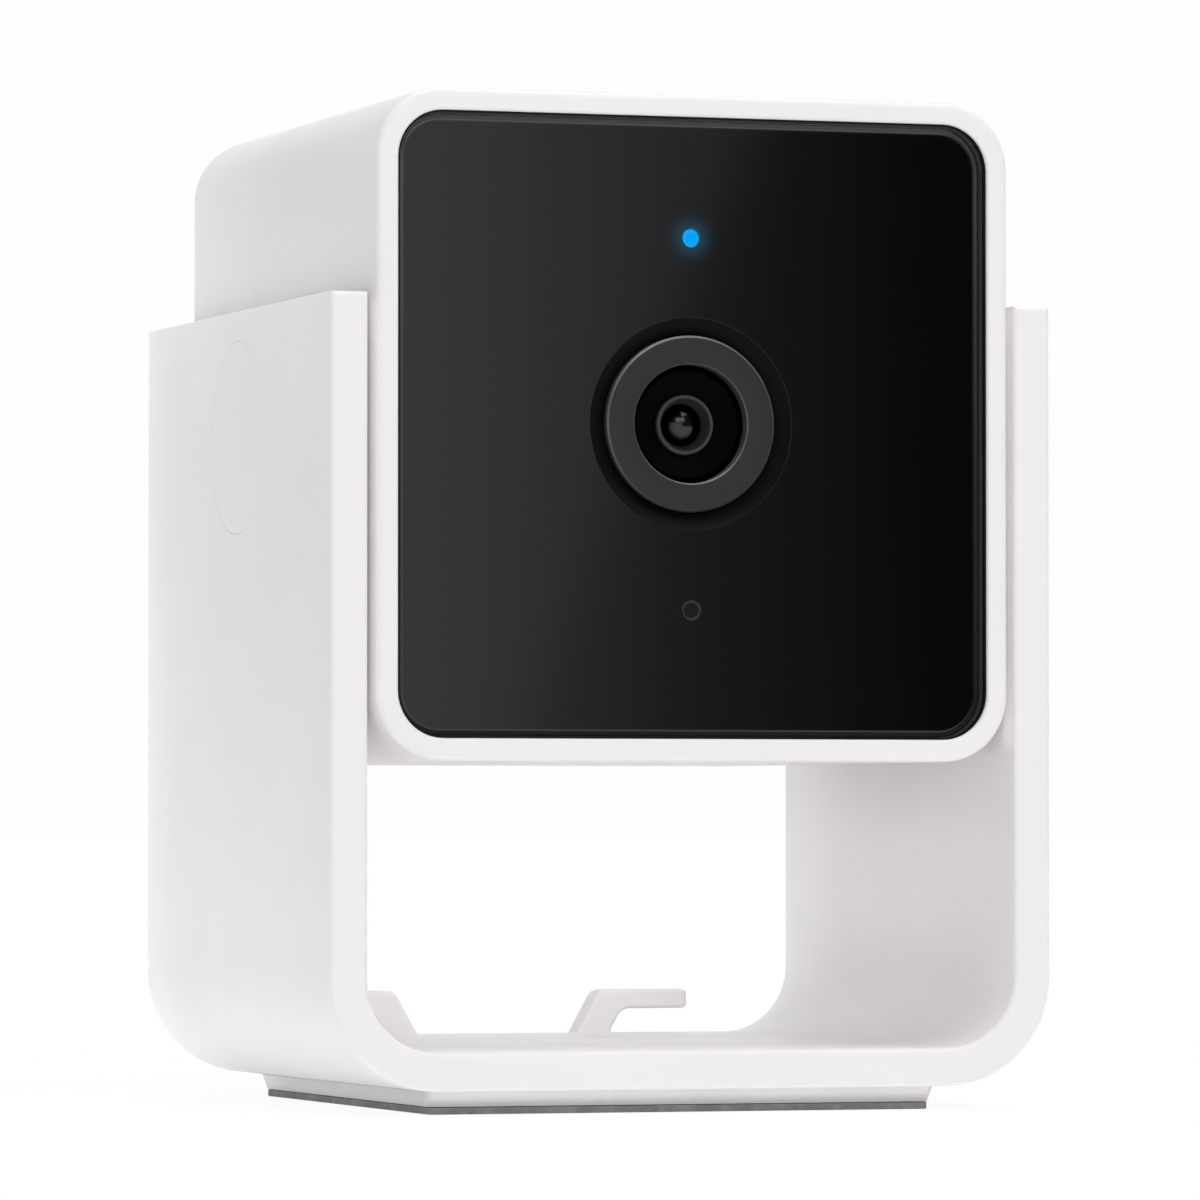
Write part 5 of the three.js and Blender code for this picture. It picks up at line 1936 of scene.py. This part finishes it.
@dataclass
class Electronics(Assembly):
    """The lights, the boards, the socket, the button and the loudspeaker."""

    pipe_radius: float = 0.67
    pipe_dome: float = 0.02
    pipe_collar: float = 1.5
    pipe_foot: float = 1.2
    socket_half: Point = (4.45, 1.65)
    socket_wall: float = 0.3
    socket_depth: float = 6.5
    socket_edge: float = 0.08
    tongue_half: Point = (3.3, 0.35)
    tongue_back: float = 0.8
    tongue_root: float = 0.05  # how deep it reaches into the socket's floor
    tongue_corner: float = 0.12
    tongue_edge: float = 0.1
    button_radius: float = 1.6
    button_edge: float = 0.25
    dimple_radius: float = 0.9
    dimple_depth: float = 0.12
    dimple_edge: float = 0.6
    flange: float = 2.5
    flange_face: float = 24.6
    flange_thick: float = 0.6
    stem: float = 1.0

    def slot(self, halves: Point, inset: float, corner: float) -> Polygon:
        """A rounded rectangle about the socket's middle, drawn in by inset."""
        half_u, half_v = (half - inset for half in halves)
        return rectangle(half_u, half_v, corner, 0, SOCKET_UP)

    def light_pipe(self) -> Solid:
        """The light guide, with a slightly domed face.

        Returns:
            The light guide.
        """
        front, back = span("light_pipe")
        collar = span("front_panel")[1] + CLEARANCE
        radius = self.pipe_radius
        profile = polygon(
            (0, front), (radius, front + self.pipe_dome, SOFT), (radius, collar),
            (self.pipe_collar, collar, SOFT), (self.pipe_foot, back), (0, back),
        )
        return Solid().turn(profile, Axis.Y, 0, STATUS_LIGHT_UP, 48)

    def socket(self) -> Solid:
        """The power socket's metal shell.

        Returns:
            The shell.
        """
        back, mouth = span("usb_socket")
        rounding, wall = self.socket_half[1] - 0.02, self.socket_wall
        rim = rounded_edge(mouth, -1, self.socket_edge, 3)
        inner = self.slot(self.socket_half, wall, rounding - wall)
        hole = Hole(inner, as_hole(rim) + [(mouth - self.socket_depth, 0)], True)
        return Solid().plate(self.slot(self.socket_half, 0, rounding), rim + [(back, 0)], Axis.Y, [hole])

    def tongue(self) -> Solid:
        """The black tongue inside the socket.

        Returns:
            The tongue.
        """
        mouth = span("usb_socket")[1]
        stations = rounded_edge(mouth - self.tongue_back, -1, self.tongue_edge, 3)
        stations.append((mouth - self.socket_depth - self.tongue_root, 0))
        return Solid().plate(self.slot(self.tongue_half, 0, self.tongue_corner), stations, Axis.Y)

    def setup_button(self) -> Solid:
        """The button, with a soft edge and a shallow dimple.

        Returns:
            The button.
        """
        tip, outer = span("setup_button")
        stop = self.flange_face
        root = stop - self.flange_thick
        profile = polygon(
            (0, tip), (self.stem, tip, SOFT), (self.stem, root), (self.flange, root, SOFT),
            (self.flange, stop, SOFT), (self.button_radius, stop),
            (self.button_radius, outer, self.button_edge), (self.dimple_radius, outer, self.dimple_edge),
            (0, outer - self.dimple_depth),
        )
        return Solid().turn(profile, Axis.Y, *BUTTON_PLACE, 64)

    def make(self) -> None:
        """Builds and dresses the electronics."""
        self.piece("status_guide", self.light_pipe(), STATUS_BLUE, Body.HEAD, "light_pipe")
        self.piece("power_socket", self.socket(), STEEL, Body.HEAD, "usb_socket")
        self.piece("socket_tongue", self.tongue(), BLACK, Body.HEAD)
        self.piece("button_cap", self.setup_button(), WHITE, Body.BUTTON, "setup_button")
        self.dress(BOARD, "led_board", "sensor_board", "main_board")
        self.dress(DARK_GLASS, *(f"ir_led_{number}" for number in range(1, 5)))
        self.dress(CLEAR, "status_led")
        self.dress(STEEL, "microphone", "sensor_screw_1", "sensor_screw_2", "shield_can")
        self.dress(STEEL, "board_screw_1", "board_screw_2")
        self.dress(BLACK, "image_sensor", "tact_switch", "speaker_can", "antenna_lead")
        self.dress(FOAM, "mic_gasket", "speaker_cone", "speaker_gasket")
        self.dress(RIBBON, "ribbon_cable")
        self.dress(FILM, "antenna")


# Stage

LEFT_FADE = (
    (0.0, 0.975), (0.118, 0.9), (0.235, 0.78), (0.353, 0.61), (0.47, 0.49), (0.65, 0.38), (1.0, 0.2),
)
RIGHT_FADE = (
    (0.0, 0.9), (0.294, 0.52), (0.353, 0.42), (0.412, 0.36), (0.529, 0.21), (0.647, 0.157), (0.765, 0.09),
    (0.882, 0.055), (1.0, 0.03),
)


def aimed(name: str, data: bpy.types.ID, place: Vector, direction: Vector) -> Object:
    """A new object that stands at a place and looks in a direction.

    Args:
        name: the object's name.
        data: its light or camera.
        place: where it stands, in metres.
        direction: where it looks.

    Returns:
        The object.
    """
    made = linked(name, data)
    made.location = place
    made.rotation_mode = "QUATERNION"
    made.rotation_quaternion = direction.to_track_quat("-Z", "Y")
    return made


def stage_piece(name: str, solid: Solid, material: Material) -> Object:
    """Adds a piece of the stage, which isn't part of the object.

    Args:
        name: the piece's name.
        solid: its solid.
        material: its material.

    Returns:
        The piece's object.
    """
    made = linked(name, solid.mesh(name))
    made.data.materials.append(material)
    return made


def glowing(graph: Graph, colour: Tone, strength: float = 1.0) -> Material:
    """Ends a graph with a shader that only glows."""
    return graph.end(graph.shader("ShaderNodeEmission", {"Color": colour, "Strength": strength}))


def gloss_only(card: Object) -> None:
    """Lets only reflections see a card.

    Args:
        card: the card.
    """
    card.visible_camera = False
    card.visible_diffuse = False
    card.visible_transmission = False
    card.visible_shadow = False


def seen_rays(graph: Graph) -> Signal:
    """1 for rays from the camera, off gloss and through glass, and 0 for light on surfaces.

    Args:
        graph: the graph that the nodes are added to.

    Returns:
        The share, as a signal.
    """
    path = graph.node("ShaderNodeLightPath")
    names = ("Is Camera Ray", "Is Glossy Ray", "Is Transmission Ray")
    camera, glossy, transmission = (Signal(graph, path.outputs[name]) for name in names)
    return 1 - (1 - camera) * (1 - glossy) * (1 - transmission)


@dataclass(frozen=True)
class Lamp:
    """A soft lamp that stands at an azimuth from the front and an elevation."""

    name: str
    azimuth: float
    elevation: float
    level: float
    in_gloss: bool = field(default=False, kw_only=True)

    @property
    def direction(self) -> Vector:
        """The direction from the object to the lamp.

        Returns:
            The unit vector.
        """
        azimuth, elevation = math.radians(self.azimuth), math.radians(self.elevation)
        level = math.cos(elevation)
        return Vector((math.sin(azimuth) * level, -math.cos(azimuth) * level, math.sin(elevation)))

    def link(self, data: bpy.types.Light, place: Vector) -> None:
        """Adds the lamp's light at a place, aimed back at the object and hidden from the camera.

        Args:
            data: the light.
            place: where it stands, in metres.
        """
        lamp = aimed(self.name, data, place, -self.direction)
        lamp.visible_camera = False
        lamp.visible_glossy = self.in_gloss


@dataclass(frozen=True)
class DistantLamp(Lamp):
    """A big soft lamp, far away: its level is what it adds to a face that it shines on squarely."""

    spread: float = 60.0

    def make(self) -> None:
        """Adds the lamp."""
        data = bpy.data.lights.new(self.name, "SUN")
        data.angle = math.radians(self.spread)
        data.energy = self.level * math.pi
        self.link(data, self.direction)


@dataclass(frozen=True)
class NearLamp(Lamp):
    """A small soft lamp beside the object: its level is how bright it is itself."""

    distance: float
    target: Triple
    size: Point

    def make(self) -> None:
        """Adds the lamp."""
        data = bpy.data.lights.new(self.name, "AREA")
        data.shape = "RECTANGLE"
        data.size, data.size_y = self.size
        data.energy = self.level * math.pi * data.size * data.size_y
        self.link(data, Vector(self.target) + self.direction * self.distance)


@dataclass(frozen=True)
class GlossCard(Lamp):
    """A card that only reflections see: dark where the level is low, a softbox where it is high."""

    distance: float
    size: Point
    target: Triple = (0.0, 0.0, 0.054)

    def make(self) -> None:
        """Adds the card, which faces its target."""
        width, height = self.size
        turn = self.direction.to_track_quat("Z", "Y").to_matrix().to_4x4()
        place = Matrix.Translation((Vector(self.target) + self.direction * self.distance) / MM)
        solid = Solid().sheet(width / MM, height / MM).place(place @ turn)
        material = glowing(Graph.of_material(self.name), WHITE_LIGHT, self.level)
        gloss_only(stage_piece(self.name, solid, material))


def pair(name: str, azimuth: float, *sizes: float, target: Triple, size: Point) -> tuple[NearLamp, ...]:
    """The same near lamp on the left and on the right.

    Args:
        name: the pair's name.
        azimuth: the right lamp's azimuth.
        sizes: its elevation, level and distance.
        target: the right lamp's target.
        size: its width and height.

    Returns:
        The two lamps.
    """
    x, y, z = target
    return tuple(
        NearLamp(f"{name}_{word}_lamp", side * azimuth, *sizes, (side * x, y, z), size)
        for side, word in SIDES.items()
    )


@dataclass
class Studio:
    """The camera, the lamps, the floor and the white surroundings."""

    azimuth: float = math.radians(18.5)
    distance: float = 0.6456
    height: float = 0.02258
    side_shift: float = 0.001
    focal: float = 236.1
    sensor: float = 36.0
    clip: Point = (0.01, 100.0)
    pitch: float = math.atan(226.2 / 7870)  # the horizon's shift over the focal length, in pixels
    ambient: float = 0.172
    backdrop: float = 0.99
    floor_side: float = 24.0
    floor_albedo: float = 0.8
    floor_glow: float = 0.34
    floor_white: float = 0.9
    floor_level: float = 0.985
    card_distance: float = 3.0
    card_span: Point = (0.80, 6.0)
    card_top: float = 0.7
    fade_span: Point = (0.86, 1.20)
    step_slope: float = 0.40
    step_start: float = 0.92
    step_half: float = 0.02
    lamps: tuple[Lamp, ...] = (
        DistantLamp("front_lamp", 0.0, 10.0, 0.285),
        DistantLamp("top_lamp", 15.0, 80.0, 0.72, in_gloss=True),
        *pair("edge", 125.0, 0.0, 0.95, 0.008, target=(0.030, 0.0275, 0.042), size=(0.005, 0.08)),
        *pair("bend", 90.0, -35.0, 0.85, 0.03, target=(0.028, 0.0, 0.0205), size=(0.06, 0.01)),
        *pair("inner", -150.0, 0.0, 1.2, 0.012, target=(0.0269, 0.0265, 0.0165), size=(0.008, 0.02)),
        *pair("crown", 90.0, 60.0, 0.35, 0.008, target=(0.030, 0.0, 0.062), size=(0.05, 0.004)),
        NearLamp("gap_lamp", 0.0, 90.0, 0.45, 0.02, (0.0, 0.0, 0.005), (0.04, 0.04)),
        NearLamp("hook_lamp", 0.0, 0.0, 0.5, 0.006, (0.0, 0.02, 0.012), (0.04, 0.01)),
        NearLamp("slit_left_lamp", -90.0, 0.0, 0.29, 0.0006, (-0.0263, -0.026, 0.0462), (0.002, 0.0355)),
        NearLamp("slit_right_lamp", -90.0, 0.0, 0.29, 0.0006, (0.02695, -0.0255, 0.0465), (0.002, 0.035)),
        GlossCard("dark_right", 100.0, 0.0, 0.02, 3.0, (5.0, 1.4)),
        GlossCard("dark_ceiling", 0.0, 90.0, 0.02, 0.65, (8.5, 2.65), (1.75, -1.675, 0.0)),
        GlossCard("key_softbox", 44.0, 40.0, 2.8, 0.8, (0.55, 0.24)),
        GlossCard("fill_softbox", 12.0, 20.0, 2.1, 1.0, (0.5, 0.22)),
    )

    def camera(self) -> None:
        """Adds the camera at the photograph's angle."""
        sine, cosine = math.sin(self.azimuth), math.cos(self.azimuth)
        data = bpy.data.cameras.new("camera")
        data.sensor_width = self.sensor
        data.lens = self.focal
        data.clip_start, data.clip_end = self.clip
        x = -self.distance * sine + self.side_shift * cosine
        y = -self.distance * cosine - self.side_shift * sine
        level = math.cos(self.pitch)
        look = Vector((sine * level, cosine * level, math.sin(self.pitch)))
        bpy.context.scene.camera = aimed("camera", data, Vector((x, y, self.height)), look)

    def surroundings(self) -> None:
        """Makes the world white to the camera, gloss and glass, and a soft light to the rest."""
        world = bpy.data.worlds.new("studio")
        world.use_nodes = True
        bpy.context.scene.world = world
        graph = Graph(world.node_tree)
        soft, white = (
            graph.shader("ShaderNodeBackground", {"Color": WHITE_LIGHT, "Strength": strength})
            for strength in (self.ambient, self.backdrop)
        )
        graph.end(graph.blend(seen_rays(graph), soft, white), "World")

    def floor(self) -> None:
        """Adds the pale floor, which is white to the camera but for the object's shadow."""
        side = self.floor_side / MM
        graph = Graph.of_material("floor")
        inputs = {
            "Base Color": (self.floor_albedo,) * 3,
            "Roughness": 1.0,
            "Specular IOR Level": 0.0,
            "Emission Color": WHITE_LIGHT,
            "Emission Strength": self.floor_glow,
        }
        lit = graph.shader("ShaderNodeBsdfPrincipled", inputs)
        white = graph.shader("ShaderNodeEmission", {"Color": WHITE_LIGHT, "Strength": self.floor_level})
        seen = Signal(graph, graph.node("ShaderNodeLightPath").outputs["Is Camera Ray"])
        material = graph.end(graph.blend(seen * self.floor_white, lit, white))
        stage_piece("floor", Solid().sheet(side, side), material)

    def card(self) -> None:
        """Adds the card that the glossy panel reflects: it fades to the right, past a slanted step."""
        left, right = self.card_span
        middle = ((left + right) / 2 / MM, -self.card_distance / MM, self.card_top / 2 / MM)
        place = Matrix.Translation(middle) @ Matrix.Rotation(QUARTER, 4, "X")
        solid = Solid().sheet((right - left) / MM, self.card_top / MM).place(place)
        graph = Graph.of_material("card")
        x, _, z = graph.axes()
        across = (x * MM).ramp(*self.fade_span)
        past = x * MM - z * (MM * self.step_slope) - self.step_start
        step = past.fade(-self.step_half, self.step_half)
        shade = graph.mix(step, graph.greys(across, LEFT_FADE), graph.greys(across, RIGHT_FADE))
        gloss_only(stage_piece("card", solid, glowing(graph, shade)))

    def make(self) -> None:
        """Sets the stage."""
        self.camera()
        self.surroundings()
        self.floor()
        self.card()
        for lamp in self.lamps:
            lamp.make()
        bpy.context.scene.view_settings.view_transform = "Standard"


def main() -> None:
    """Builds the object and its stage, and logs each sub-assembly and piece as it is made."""
    logging.basicConfig(level=logging.INFO, format="%(message)s")
    Studio().make()
    for assembly in (Stand(), Pivots(), Housing(), Optics(), Electronics()):
        log.info("building %s", type(assembly).__name__)
        assembly.make()


if __name__ == "__main__":
    main()
